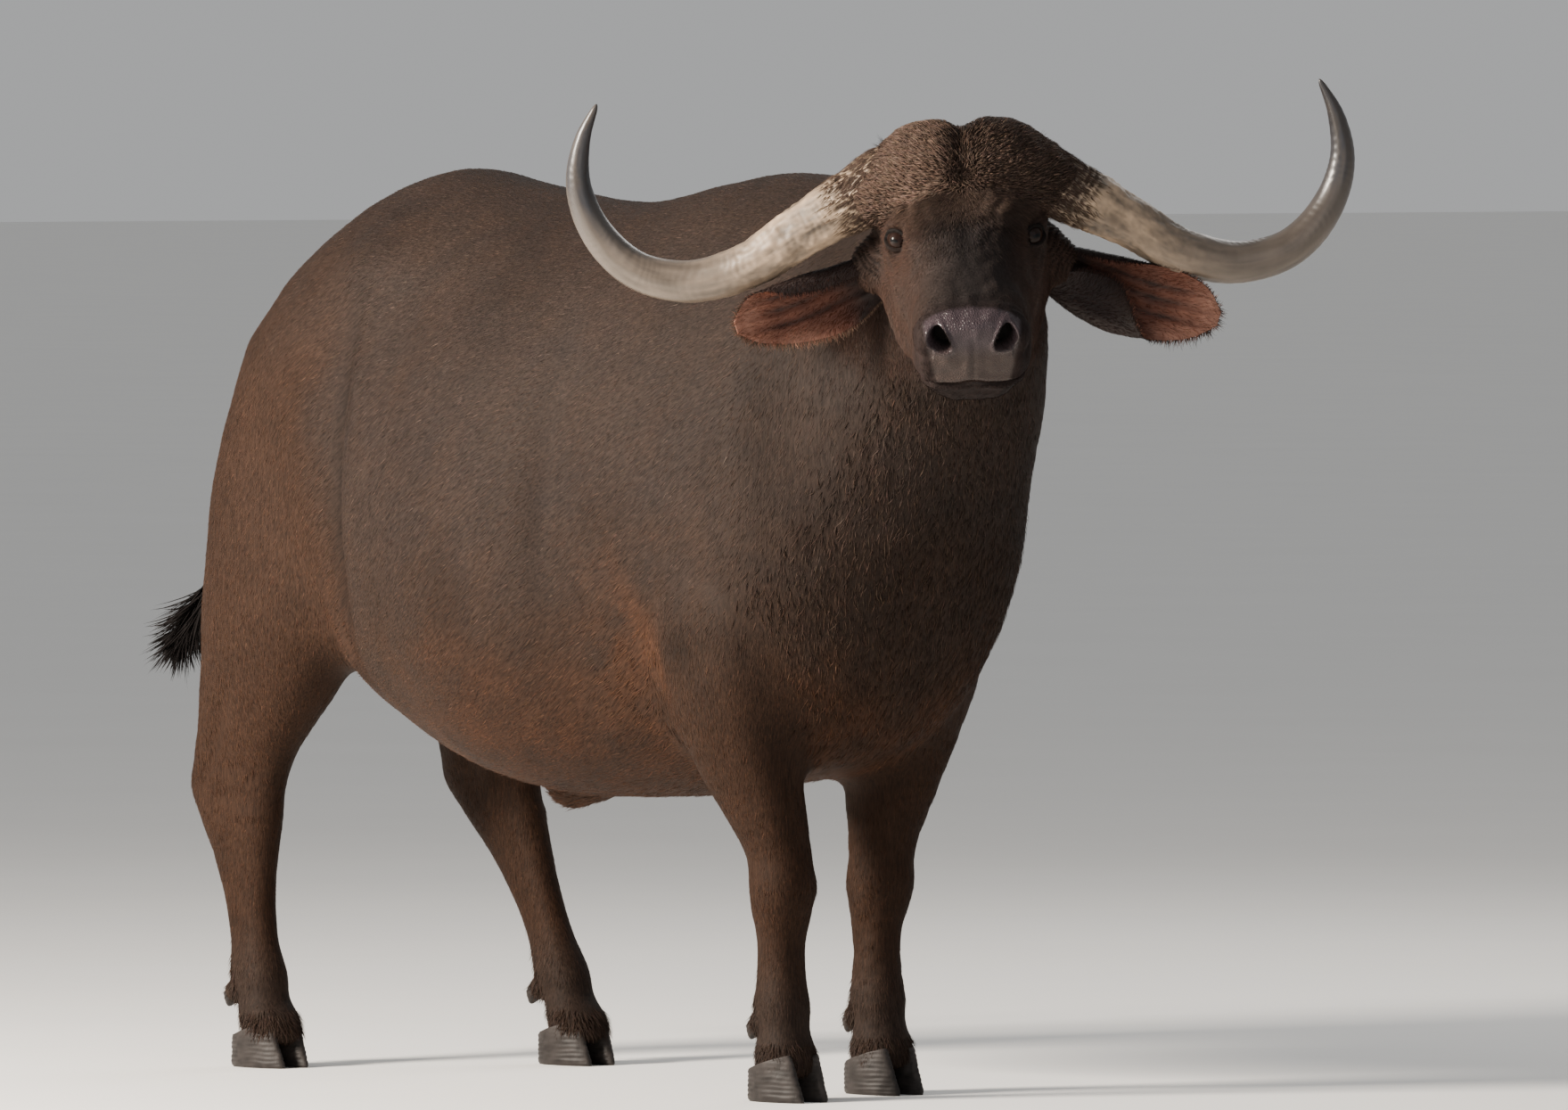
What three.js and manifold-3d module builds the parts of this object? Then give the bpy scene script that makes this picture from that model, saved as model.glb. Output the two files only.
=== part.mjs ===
// A young African buffalo bull at life size. It stands still and looks towards its right.
// Millimetres. +X runs from rump to chest, +Y to the animal's left and +Z up.

import * as THREE from "three";
import { mergeVertices } from "three/addons/utils/BufferGeometryUtils.js";
import Module from "manifold-3d";

const wasm = await Module();
wasm.setup();

const vector = (x, y, z) => new THREE.Vector3(x, y, z);

// Trunk sections from the buttocks to the shoulders, each in an upright plane across X.
// top and bottom are heights, wide is the height of the broadest point and half is half the width there.
const TRUNK = [
  { x: -818, top: 1110, bottom: 990, wide: 1050, half: 46 },
  { x: -806, top: 1165, bottom: 900, wide: 1045, half: 128 },
  { x: -770, top: 1232, bottom: 800, wide: 1040, half: 205 },
  { x: -700, top: 1308, bottom: 720, wide: 1030, half: 262 },
  { x: -580, top: 1388, bottom: 650, wide: 1020, half: 290 },
  { x: -430, top: 1430, bottom: 546, wide: 970, half: 308 },
  { x: -250, top: 1412, bottom: 474, wide: 905, half: 352 },
  { x: -60, top: 1386, bottom: 445, wide: 865, half: 385 },
  { x: 110, top: 1386, bottom: 448, wide: 870, half: 370 },
  { x: 270, top: 1412, bottom: 458, wide: 890, half: 318 },
  { x: 400, top: 1430, bottom: 476, wide: 925, half: 280 },
  { x: 500, top: 1427, bottom: 494, wide: 950, half: 272 },
];

// Neck sections from the shoulders to the poll, each by its highest and lowest point and its turn aside.
// share is how far up the section is broadest.
const NECK = [
  { crestX: 575, crestZ: 1422, throatX: 628, throatZ: 545, y: -1, yaw: -4, half: 272, share: 0.5 },
  { crestX: 645, crestZ: 1415, throatX: 716, throatZ: 668, y: -6, yaw: -8, half: 238, share: 0.48 },
  { crestX: 712, crestZ: 1409, throatX: 772, throatZ: 800, y: -14, yaw: -14, half: 204, share: 0.46 },
  { crestX: 784, crestZ: 1404, throatX: 828, throatZ: 918, y: -30, yaw: -21, half: 176, share: 0.45 },
  { crestX: 854, crestZ: 1400, throatX: 886, throatZ: 1022, y: -54, yaw: -28, half: 148, share: 0.45 },
  { crestX: 915, crestZ: 1388, throatX: 938, throatZ: 1112, y: -84, yaw: -34, half: 112, share: 0.45 },
];

// Swellings and hollows of the trunk: height out of the flank at (x, z), fading over the two spreads.
const TRUNK_FORMS = [
  { name: "shoulder blade", x: 400, z: 1120, spreadX: 120, spreadZ: 190, out: 20 },
  { name: "behind the shoulder", x: 215, z: 960, spreadX: 62, spreadZ: 260, out: -13 },
  { name: "hook of the hip", x: -385, z: 1282, spreadX: 75, spreadZ: 55, out: 34 },
  { name: "hollow of the flank", x: -235, z: 1190, spreadX: 100, spreadZ: 95, out: -24 },
  { name: "fold of the flank", x: -400, z: 640, spreadX: 90, spreadZ: 80, out: 26 },
  { name: "crease before the thigh", x: -385, z: 950, spreadX: 40, spreadZ: 210, out: -22 },
  { name: "pin bone", x: -765, z: 1150, spreadX: 60, spreadZ: 50, out: 14 },
  { name: "groove of the neck", x: 700, z: 1010, spreadX: 60, spreadZ: 130, out: -12 },
];

// Leg sections at heights z: the centre line (x, y) and the half sizes along X (fore) and Y (side).
const FORE_LEG = [
  { z: 26, x: 506, y: 120, fore: 40, side: 42 },
  { z: 52, x: 505, y: 120, fore: 47, side: 49 },
  { z: 76, x: 503, y: 120, fore: 48, side: 49 },
  { z: 108, x: 499, y: 120, fore: 42, side: 42 },
  { z: 145, x: 494, y: 120, fore: 46, side: 45 },
  { z: 190, x: 492, y: 120, fore: 41, side: 40 },
  { z: 250, x: 492, y: 120, fore: 40, side: 40 },
  { z: 292, x: 495, y: 121, fore: 47, side: 49 },
  { z: 330, x: 498, y: 121, fore: 54, side: 54 },
  { z: 372, x: 496, y: 123, fore: 54, side: 52 },
  { z: 430, x: 489, y: 133, fore: 67, side: 60 },
  { z: 505, x: 479, y: 149, fore: 92, side: 73 },
  { z: 580, x: 473, y: 164, fore: 114, side: 87 },
  { z: 670, x: 480, y: 176, fore: 128, side: 96 },
  { z: 770, x: 488, y: 180, fore: 124, side: 94 },
  { z: 860, x: 486, y: 152, fore: 96, side: 74 },
  { z: 910, x: 480, y: 120, fore: 50, side: 40 },
];

const HIND_LEG = [
  { z: 26, x: -655, y: 185, fore: 40, side: 42 },
  { z: 52, x: -656, y: 185, fore: 47, side: 48 },
  { z: 76, x: -664, y: 185, fore: 48, side: 48 },
  { z: 108, x: -680, y: 185, fore: 43, side: 42 },
  { z: 145, x: -692, y: 185, fore: 50, side: 43 },
  { z: 200, x: -706, y: 185, fore: 46, side: 36 },
  { z: 270, x: -722, y: 185, fore: 52, side: 36 },
  { z: 335, x: -738, y: 186, fore: 68, side: 41 },
  { z: 395, x: -754, y: 187, fore: 90, side: 49 },
  { z: 445, x: -765, y: 188, fore: 108, side: 51 },
  { z: 492, x: -750, y: 189, fore: 111, side: 56 },
  { z: 550, x: -720, y: 190, fore: 128, side: 68 },
  { z: 630, x: -682, y: 188, fore: 156, side: 90 },
  { z: 720, x: -646, y: 182, fore: 188, side: 112 },
  { z: 830, x: -624, y: 174, fore: 197, side: 124 },
  { z: 950, x: -618, y: 162, fore: 196, side: 128 },
  { z: 1070, x: -616, y: 142, fore: 180, side: 116 },
  { z: 1160, x: -614, y: 110, fore: 130, side: 78 },
];

// Where each foot stands, as a shift of the leg's table that fades out between two heights.
const LEGS = [
  { name: "fore_right", table: FORE_LEG, side: -1, footX: 38, footY: 0, fadeFrom: 300, fadeTo: 620 },
  { name: "fore_left", table: FORE_LEG, side: 1, footX: -28, footY: 0, fadeFrom: 300, fadeTo: 620 },
  { name: "hind_right", table: HIND_LEG, side: -1, footX: -42, footY: 0, fadeFrom: 100, fadeTo: 760 },
  { name: "hind_left", table: HIND_LEG, side: 1, footX: 204, footY: 56, fadeFrom: 40, fadeTo: 900 },
];

// Side outlines of the shoulder and the thigh, where the legs are parted from the trunk.
const SHOULDER_LINE = [
  [400, -40], [330, 300], [318, 520], [322, 680], [352, 830], [420, 930], [510, 955], [590, 905],
  [628, 790], [632, 640], [612, 500], [640, 300], [700, -40],
];
const THIGH_LINE = [
  [-900, -40], [-960, 300], [-960, 700], [-905, 930], [-790, 1070], [-640, 1120], [-500, 1075],
  [-412, 950], [-396, 800], [-408, 660], [-420, 540], [-330, 420], [-240, 250], [-240, -40],
];
const SHOULDER_DEPTH = [62, 480];
const THIGH_DEPTH = [40, 480];

// The plane between trunk and neck leans back from the breast to the withers.
const NECK_CUT = { lowX: 735, lowZ: 790, highX: 505, highZ: 1430 };

// The head's frame lies between the eyes: x along the face to the nose, y to the left, z out of the forehead.
const HEAD_PLACE = { x: 1033, y: -161, z: 1335, yaw: -37, pitch: 32, roll: 2 };

// Head sections from the nose to the back of the skull.
// upper and lower are half widths at brow and at jaw height, and rake leans a section back.
const HEAD = [
  { x: 288, top: -6, bottom: -66, mid: -32, upper: 44, lower: 40, rake: 0.1 },
  { x: 282, top: 12, bottom: -96, mid: -34, upper: 70, lower: 64, rake: 0.1 },
  { x: 264, top: 27, bottom: -132, mid: -36, upper: 89, lower: 78, rake: 0.1 },
  { x: 232, top: 36, bottom: -150, mid: -38, upper: 95, lower: 84, rake: 0.1 },
  { x: 194, top: 42, bottom: -151, mid: -40, upper: 89, lower: 90, rake: 0.08 },
  { x: 150, top: 48, bottom: -156, mid: -40, upper: 79, lower: 101, rake: 0.04 },
  { x: 110, top: 55, bottom: -172, mid: -40, upper: 82, lower: 112, rake: 0 },
  { x: 70, top: 62, bottom: -192, mid: -42, upper: 93, lower: 119, rake: 0 },
  { x: 35, top: 69, bottom: -206, mid: -44, upper: 105, lower: 122, rake: 0 },
  { x: 5, top: 76, bottom: -213, mid: -46, upper: 117, lower: 123, rake: 0 },
  { x: -30, top: 84, bottom: -215, mid: -48, upper: 128, lower: 124, rake: 0 },
  { x: -70, top: 92, bottom: -210, mid: -48, upper: 134, lower: 122, rake: 0 },
  { x: -110, top: 96, bottom: -192, mid: -46, upper: 130, lower: 114, rake: 0 },
  { x: -150, top: 92, bottom: -162, mid: -40, upper: 114, lower: 98, rake: 0 },
  { x: -182, top: 76, bottom: -116, mid: -30, upper: 90, lower: 76, rake: 0 },
  { x: -200, top: 42, bottom: -66, mid: -20, upper: 50, lower: 44, rake: 0 },
];

// Swellings and hollows of the head, in its own frame.
const HEAD_FORMS = [
  { name: "rim of the eye socket", x: 2, z: 18, spreadX: 40, spreadZ: 26, out: 8 },
  { name: "hollow before the eye", x: 66, z: -8, spreadX: 26, spreadZ: 28, out: -6 },
  { name: "ridge of the cheek", x: 70, z: -52, spreadX: 60, spreadZ: 16, out: 6 },
  { name: "jaw muscle", x: -30, z: -110, spreadX: 55, spreadZ: 50, out: 8 },
  { name: "wing of the nostril", x: 266, z: -4, spreadX: 22, spreadZ: 26, out: 5 },
  { name: "upper lip", x: 240, z: -68, spreadX: 36, spreadZ: 15, out: 6 },
  { name: "lower lip", x: 232, z: -108, spreadX: 36, spreadZ: 14, out: 5 },
];

// A tube's row: its centre and its half sizes upright (deep) and fore and aft (thick).
const oval = (x, y, z, deep, thick) => ({ x, y, z, deep, thick });
const round = (x, y, z, radius) => oval(x, y, z, radius, radius);

// The left horn in the level head frame: how far ahead of the eyes, how far aside and how high above them.
const HORN = [
  oval(-42, 0, 90, 44, 44),
  oval(-42, 50, 102, 50, 50),
  oval(-46, 104, 90, 50, 48),
  oval(-54, 161, 60, 47, 44),
  oval(-72, 248, 12, 39, 37),
  oval(-95, 335, -40, 35, 34),
  oval(-113, 423, -58, 32, 31),
  oval(-124, 497, -38, 29, 28),
  oval(-126, 554, 20, 25, 24),
  oval(-118, 580, 96, 19, 19),
  oval(-107, 571, 164, 12, 12),
  oval(-96, 548, 216, 3.5, 3.5),
];

// The hairy mounds over the horn roots, from the right one's end to the left one's. The right one lies lower.
const BOSS = [
  oval(-55, -164, 48, 33, 32),
  oval(-53, -155, 52, 46, 45),
  oval(-48, -130, 65, 53, 54),
  oval(-42, -92, 84, 66, 66),
  oval(-36, -44, 105, 73, 72),
  oval(-38, 0, 90, 58, 64),
  oval(-36, 44, 108, 71, 72),
  oval(-42, 92, 95, 65, 66),
  oval(-48, 130, 78, 53, 54),
  oval(-53, 155, 65, 46, 45),
  oval(-55, 164, 61, 33, 32),
];

const EYE = { x: 14, y: 98, z: 3, radius: 20 };
const GAZE = { ahead: 0.456, aside: 0.78, up: 0.403 };
const LID = { thick: 5.5, halfLong: 19, halfOpen: 11, reach: 16, offset: 20 };
const NOSTRIL = { x: 282, y: 50, z: -6, halfWide: 14, halfHigh: 20, halfDeep: 26, lean: 24 };
const MOUTH = {
  z: -90, arch: 6, halfGape: 2.6, cornerX: 168, cornerRise: 8, innerX: 150, innerLong: 116, innerHalf: 82,
};

// Each ear hangs out from its root. along runs from root to tip, and spread is half its breadth before broad.
const EARS = [
  { name: "right", side: -1, tip: vector(-84, 350, -130), broad: 0.86 },
  { name: "left", side: 1, tip: vector(-96, 384, -142), broad: 1 },
];
const EAR_ROOT = vector(-100, 124, -58);
const EAR = [
  { along: -0.06, spread: 34, bend: 1.25, lift: 0 },
  { along: 0.06, spread: 50, bend: 1.2, lift: -3 },
  { along: 0.2, spread: 62, bend: 1.05, lift: -8 },
  { along: 0.38, spread: 68, bend: 0.85, lift: -10 },
  { along: 0.58, spread: 66, bend: 0.66, lift: -6 },
  { along: 0.76, spread: 57, bend: 0.52, lift: -1 },
  { along: 0.91, spread: 38, bend: 0.4, lift: 1 },
  { along: 1, spread: 12, bend: 0.3, lift: 0 },
];
const EAR_THICK = 9;
const EAR_ARC = 7;
const EAR_OPEN = vector(0.86, 0.1, -0.36);

const TAIL = [
  round(-706, 0, 1196, 26),
  round(-772, 0, 1238, 33),
  round(-822, -6, 1200, 29),
  round(-856, -22, 1110, 23),
  round(-878, -44, 1005, 19),
  round(-898, -68, 895, 15),
  round(-930, -96, 802, 13),
  round(-954, -112, 758, 11),
];
const TUFT = [
  round(-952, -111, 764, 14),
  round(-970, -120, 736, 19),
  round(-992, -132, 700, 17),
  round(-1012, -143, 664, 11),
  round(-1026, -151, 636, 4),
];

const SHEATH = [
  round(-10, 0, 476, 14),
  round(-60, 0, 466, 26),
  round(-120, 0, 462, 34),
  round(-160, 0, 456, 34),
  round(-190, 0, 462, 26),
  round(-206, 0, 476, 12),
];

// A claw is one half of the cloven hoof. The hair begins over it at a plane that slopes down to the heel.
const CLAW = { heel: 50, toe: 74, topHeel: 44, topToe: 34, half: 25, gap: 5, toeIn: 9, high: 92 };
const HAIRLINE = { high: 58, slope: 0.3 };
const DEW_CLAW = { z: 112, back: 40, aside: 24, half: 15, halfHigh: 20 };

// Locks: how long, wide and thick, how deep the root lies and how far the tip lifts off.
const BOSS_LOCK = { long: 78, width: 38, thick: 8, sink: 9, lift: 4 };
const BROW_LOCK = { width: 27, thick: 7, sink: 8, lift: 4 };
const TUFT_LOCK = { width: 19, thick: 8, sink: 6, lift: 24 };
const EAR_LOCK = { width: 27, thick: 5, sink: 2, lift: -1 };

const GAP = 0.3;
const FINE = 0.08;
const TRUNK_SIDES = 24;
const TRUNK_COUNT = 34;
const HEAD_SIDES = 24;
const HEAD_COUNT = 22;
const LEG_SIDES = 12;
const LEG_COUNT = 20;
const HORN_SIDES = 10;
const HORN_COUNT = 22;

const COLOURS = {
  hide: [0x3a2a24, 0.85],
  face: [0x2e2422, 0.8],
  horn: [0x5d4c3d, 0.45],
  hoof: [0x1f1b19, 0.6],
  eye: [0x1a0d09, 0.08],
  ear: [0x3f2a25, 0.85],
  tuft: [0x14100f, 0.9],
};

const AXES = [vector(1, 0, 0), vector(0, 1, 0), vector(0, 0, 1)];
const radians = THREE.MathUtils.degToRad;
const lerp = THREE.MathUtils.lerp;
const power = (value, exponent) => Math.sign(value) * Math.abs(value) ** exponent;
const bell = (value, spread) => Math.exp(-((value / spread) ** 2));

// Rises from 0 to 1 with a level start and end.
function ease(t) {
  const s = THREE.MathUtils.clamp(t, 0, 1);
  return s * s * (3 - 2 * s);
}

// count values of an angle or a share, evenly spaced.
const around = (count) => Array.from({ length: count }, (_, j) => (2 * Math.PI * j) / count);
const shares = (count) => Array.from({ length: count }, (_, j) => j / (count - 1));

// A smooth function through (at, value) pairs, in cubic pieces.
// The slope at a pair is that of the parabola through it and its two neighbours.
function curveThrough(at, value) {
  const last = at.length - 1;
  const step = at.slice(1).map((a, i) => a - at[i]);
  const rise = step.map((h, i) => (value[i + 1] - value[i]) / h);
  const slope = at.map((_, i) => {
    if (i === 0) return rise[0];
    if (i === last) return rise[last - 1];
    return (step[i - 1] * rise[i] + step[i] * rise[i - 1]) / (step[i - 1] + step[i]);
  });
  return (t) => {
    let i = 0;
    while (i < last - 1 && t > at[i + 1]) i += 1;
    const h = step[i];
    const s = (t - at[i]) / h;
    return (
      value[i] * (1 + 2 * s) * (1 - s) ** 2 +
      slope[i] * h * s * (1 - s) ** 2 +
      value[i + 1] * s * s * (3 - 2 * s) +
      slope[i + 1] * h * s * s * (s - 1)
    );
  };
}

// A table as a smooth function from a share, 0 to 1, to a row: even along one key or along the rows' centres.
function rowCurve(table, key) {
  const at = [0];
  for (let i = 1; i < table.length; i += 1) {
    const [a, b] = [table[i - 1], table[i]];
    const apart = key ? Math.abs(b[key] - a[key]) : Math.hypot(b.x - a.x, b.y - a.y, b.z - a.z);
    at.push(at[i - 1] + apart);
  }
  const names = Object.keys(table[0]);
  const curves = names.map((name) => curveThrough(at, table.map((row) => row[name])));
  const end = at[at.length - 1];
  return (share) => Object.fromEntries(names.map((name, k) => [name, curves[k](end * share)]));
}

const sampled = (table, count, key) => shares(count).map(rowCurve(table, key));

// A closed skin over rings of points that run anticlockwise seen from the end that the rings run to.
function skinOver(rings) {
  const sides = rings[0].length;
  const centre = (ring) => ring.reduce((sum, p) => sum.add(p), vector(0, 0, 0)).divideScalar(sides);
  const points = [...rings.flat(), centre(rings[0]), centre(rings[rings.length - 1])];
  const [foot, head] = [points.length - 2, points.length - 1];
  const top = (rings.length - 1) * sides;
  const faces = [];
  for (let j = 0; j < sides; j += 1) {
    const k = (j + 1) % sides;
    for (let i = 0; i < rings.length - 1; i += 1) {
      const [a, b] = [i * sides, (i + 1) * sides];
      faces.push(a + j, a + k, b + k, a + j, b + k, b + j);
    }
    if (sides > 3) faces.push(foot, k, j, head, top + j, top + k);
  }
  if (sides === 3) faces.push(0, 2, 1, top, top + 1, top + 2);
  return new THREE.BufferGeometry().setFromPoints(points).setIndex(faces);
}

// A closed geometry as a solid, with its coincident points merged.
function solidOf(geometry) {
  const bare = new THREE.BufferGeometry();
  bare.setAttribute("position", geometry.getAttribute("position"));
  bare.setIndex(geometry.index);
  const merged = mergeVertices(bare, 1e-3);
  const mesh = new wasm.Mesh({
    numProp: 3,
    vertProperties: merged.attributes.position.array,
    triVerts: new Uint32Array(merged.index.array),
  });
  return new wasm.Manifold(mesh);
}

// The same geometry on the other side of the XZ plane, still facing out.
function mirrored(geometry) {
  const other = geometry.clone().applyMatrix4(new THREE.Matrix4().makeScale(1, -1, 1));
  if (!other.index) other.setIndex(Array.from({ length: other.attributes.position.count }, (_, i) => i));
  const index = other.index.array;
  for (let i = 0; i < index.length; i += 3) [index[i + 1], index[i + 2]] = [index[i + 2], index[i + 1]];
  return other;
}

// The largest closed body of a solid, without anything cut loose from it.
function largest(solid) {
  return solid.decompose().sort((a, b) => b.volume() - a.volume())[0];
}

// A solid's surface as a geometry.
function geometryOf(solid) {
  const { vertProperties, triVerts, numProp } = solid.getMesh();
  const points = [];
  for (let i = 0; i < vertProperties.length; i += numProp) points.push(...vertProperties.slice(i, i + 3));
  const geometry = new THREE.BufferGeometry();
  geometry.setAttribute("position", new THREE.Float32BufferAttribute(points, 3));
  geometry.setIndex([...triVerts]);
  return geometry;
}

// A solid as a named mesh with its own finish. Edges that matter less than FINE are dissolved.
function meshOf(solid, name, finish) {
  const fine = solidOf(geometryOf(largest(solid).simplify(FINE)));
  const geometry = geometryOf(largest(fine));
  geometry.computeVertexNormals();
  const [color, roughness] = COLOURS[finish];
  const mesh = new THREE.Mesh(geometry, new THREE.MeshStandardMaterial({ color, roughness, metalness: 0 }));
  mesh.name = name;
  return mesh;
}

// Height out of the surface at one place from a list of swellings and hollows.
function relief(forms, x, z) {
  return forms.reduce((sum, f) => sum + f.out * bell(x - f.x, f.spreadX) * bell(z - f.z, f.spreadZ), 0);
}

// Trunk and neck rows in one form: centre, reach up and down, half width and the turns of the plane.
function spineRows() {
  const trunk = TRUNK.map(({ x, top, bottom, wide, half }) => ({
    x, y: 0, z: wide, up: top - wide, down: wide - bottom, half, yaw: 0, pitch: 0,
  }));
  const neck = NECK.map(({ crestX, crestZ, throatX, throatZ, y, yaw, half, share }) => {
    const long = Math.hypot(crestX - throatX, crestZ - throatZ);
    return {
      x: lerp(throatX, crestX, share),
      y,
      z: lerp(throatZ, crestZ, share),
      up: long * (1 - share),
      down: long * share,
      half,
      yaw,
      pitch: THREE.MathUtils.radToDeg(Math.atan2(throatX - crestX, crestZ - throatZ)),
    };
  });
  return [...trunk, ...neck];
}

// One ring round the spine. The back is a little ridged and the belly full.
function trunkRing({ x, y, z, up, down, half, yaw, pitch }, grow) {
  const turn = new THREE.Euler(0, -radians(pitch), radians(yaw), "ZYX");
  const forward = vector(1, 0, 0).applyEuler(turn);
  const left = vector(0, 1, 0).applyEuler(turn);
  const upward = forward.clone().cross(left);
  return around(TRUNK_SIDES).map((angle) => {
    const [c, s] = [Math.cos(angle), Math.sin(angle)];
    const shape = s > 0 ? 2 / 1.85 : 2 / 2.25;
    const height = power(s, shape) * ((s > 0 ? up : down) + grow);
    const out = relief(TRUNK_FORMS, x, z + height) * power(c, 0.6);
    return vector(x, y, z)
      .addScaledVector(left, power(c, shape) * (half + grow) + out)
      .addScaledVector(upward, height);
  });
}

// Trunk and neck as one form.
function spineSolid(grow) {
  return solidOf(skinOver(sampled(spineRows(), TRUNK_COUNT).map((row) => trunkRing(row, grow))));
}

// A leg's rows moved to where its foot stands.
function legRows({ table, side, footX, footY, fadeFrom, fadeTo }, count) {
  return sampled(table, count, "z").map((row) => {
    const share = 1 - ease((row.z - fadeFrom) / (fadeTo - fadeFrom));
    return { ...row, x: row.x + footX * share, y: side * (row.y + footY * share) };
  });
}

function legSolid(leg, grow) {
  const shape = 2 / 2.3;
  const rings = legRows(leg, LEG_COUNT).map(({ x, y, z, fore, side }) =>
    around(LEG_SIDES).map((angle) => {
      const [c, s] = [power(Math.cos(angle), shape), power(Math.sin(angle), shape)];
      return vector(x + (fore + grow) * c, y + (side + grow) * s, z);
    }),
  );
  return solidOf(skinOver(rings));
}

// A block with a smooth side outline, from one depth to another on the given side of the body.
function outlineBlock(line, [near, far], side, grow) {
  const curve = new THREE.SplineCurve(line.map(([x, z]) => new THREE.Vector2(x, z)));
  const points = curve.getPoints(line.length * 4);
  const grown = points.map((point, i) => {
    const before = points[Math.max(i - 1, 0)];
    const after = points[Math.min(i + 1, points.length - 1)];
    const along = after.clone().sub(before).normalize();
    return new THREE.Vector2(point.x - along.y * grow, point.y + along.x * grow);
  });
  const block = new THREE.ExtrudeGeometry(new THREE.Shape(grown), {
    depth: far - near + grow,
    bevelEnabled: false,
  });
  block.applyMatrix4(new THREE.Matrix4().makeRotationX(Math.PI / 2)).translate(0, -near + grow, 0);
  return solidOf(side < 0 ? block : mirrored(block));
}

const levelHead = new THREE.Matrix4()
  .makeRotationFromEuler(new THREE.Euler(radians(HEAD_PLACE.roll), 0, radians(HEAD_PLACE.yaw), "ZYX"))
  .setPosition(HEAD_PLACE.x, HEAD_PLACE.y, HEAD_PLACE.z);
const faceHead = levelHead.clone().multiply(new THREE.Matrix4().makeRotationY(radians(HEAD_PLACE.pitch)));

// One ring of the head, wider at the brow than at the muzzle and raked back under the nose.
function headRing({ x, top, bottom, mid, upper, lower, rake }, grow) {
  return around(HEAD_SIDES).map((angle) => {
    const [c, s] = [Math.cos(angle), Math.sin(angle)];
    const square = s > 0 ? 2.4 : lerp(3.4, 2.4, ease((x - 60) / 160));
    const height = power(s, 2 / square) * ((s > 0 ? top - mid : mid - bottom) + grow);
    const width = lerp(lower, upper, ease((s + 1) / 2)) + grow;
    const out = relief(HEAD_FORMS, x, mid + height) * power(c, 0.5);
    return vector(x + rake * height, power(c, 2 / (square + 0.3)) * width + out, mid + height);
  });
}

// The head's rings run from the skull to the nose, so that they run forward.
function skullSolid(grow) {
  const rows = sampled(HEAD, HEAD_COUNT, "x").reverse();
  rows[0].x -= grow;
  rows[rows.length - 1].x += grow;
  return solidOf(skinOver(rows.map((row) => headRing(row, grow))).applyMatrix4(faceHead));
}

// The surface of a tube through a table's rows, at a share of its length, an angle round it and a height out.
function tubeSurface(table) {
  const row = rowCurve(table);
  const centre = (share) => {
    const { x, y, z } = row(share);
    return vector(x, y, z);
  };
  const reach = centre(1).sub(centre(0));
  const reference = Math.abs(reach.y) < Math.abs(reach.x) ? AXES[1] : AXES[0];
  return (share, angle, out) => {
    const { deep, thick } = row(share);
    const along = centre(share + 0.01).sub(centre(share - 0.01)).normalize();
    const front = reference.clone().addScaledVector(along, -reference.dot(along)).normalize();
    const upright = along.clone().cross(front);
    return centre(share)
      .addScaledVector(front, (thick + out) * Math.cos(angle))
      .addScaledVector(upright, (deep + out) * Math.sin(angle));
  };
}

// How long a tube is along its rows' centres.
function tubeLength(table) {
  const points = table.map(({ x, y, z }) => vector(x, y, z));
  return points.slice(1).reduce((sum, point, i) => sum + point.distanceTo(points[i]), 0);
}

// A tube through a table's rows, grown on its sides and its ends.
function tubeGeometry(table, count, sides, grow) {
  const surface = tubeSurface(table);
  const over = grow / tubeLength(table);
  const rings = shares(count).map((share) => {
    const at = lerp(-over, 1 + over, share);
    return around(sides).map((angle) => surface(at, angle, grow));
  });
  return skinOver(rings);
}

function bossSolid(grow) {
  return solidOf(tubeGeometry(BOSS, 15, 14, grow).applyMatrix4(levelHead));
}

function hornSolid(side, grow) {
  const left = tubeGeometry(HORN, HORN_COUNT, HORN_SIDES, grow);
  return solidOf((side > 0 ? left : mirrored(left)).applyMatrix4(levelHead));
}

// A ball stretched along three axes of a frame and set at a centre of that frame.
function ovalSolid(frame, centre, axes, sizes, sides = 12) {
  const [a, b, c] = axes.map((axis, i) => axis.clone().multiplyScalar(sizes[i]));
  const place = new THREE.Matrix4().makeBasis(a, b, c).setPosition(centre);
  return solidOf(new THREE.SphereGeometry(1, sides, sides * 0.6).applyMatrix4(place).applyMatrix4(frame));
}

const eyeCentre = (side) => vector(EYE.x, side * EYE.y, EYE.z);

function eyeSolid(side, radius) {
  return ovalSolid(faceHead, eyeCentre(side), AXES, [radius, radius, radius], 12);
}

// The slit between the lids, a long oval that looks the way the eye does.
function slitSolid(side) {
  const gaze = vector(GAZE.ahead, side * GAZE.aside, GAZE.up).normalize();
  const long = vector(1, 0, 0).addScaledVector(gaze, -gaze.x).normalize();
  const open = gaze.clone().cross(long);
  const centre = eyeCentre(side).addScaledVector(gaze, LID.offset);
  return ovalSolid(faceHead, centre, [gaze, long, open], [LID.reach, LID.halfLong, LID.halfOpen]);
}

// A nostril's hollow runs back into the nose and leans outwards at its top.
function nostrilSolid(side) {
  const lean = radians(NOSTRIL.lean) * side;
  const high = vector(0.25, Math.sin(lean), Math.cos(lean)).normalize();
  const deep = vector(1, 0.35 * side, 0).addScaledVector(high, -high.x).normalize();
  const wide = high.clone().cross(deep);
  const centre = vector(NOSTRIL.x, side * NOSTRIL.y, NOSTRIL.z);
  const sizes = [NOSTRIL.halfDeep, NOSTRIL.halfWide, NOSTRIL.halfHigh];
  return ovalSolid(faceHead, centre, [deep, wide, high], sizes);
}

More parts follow.
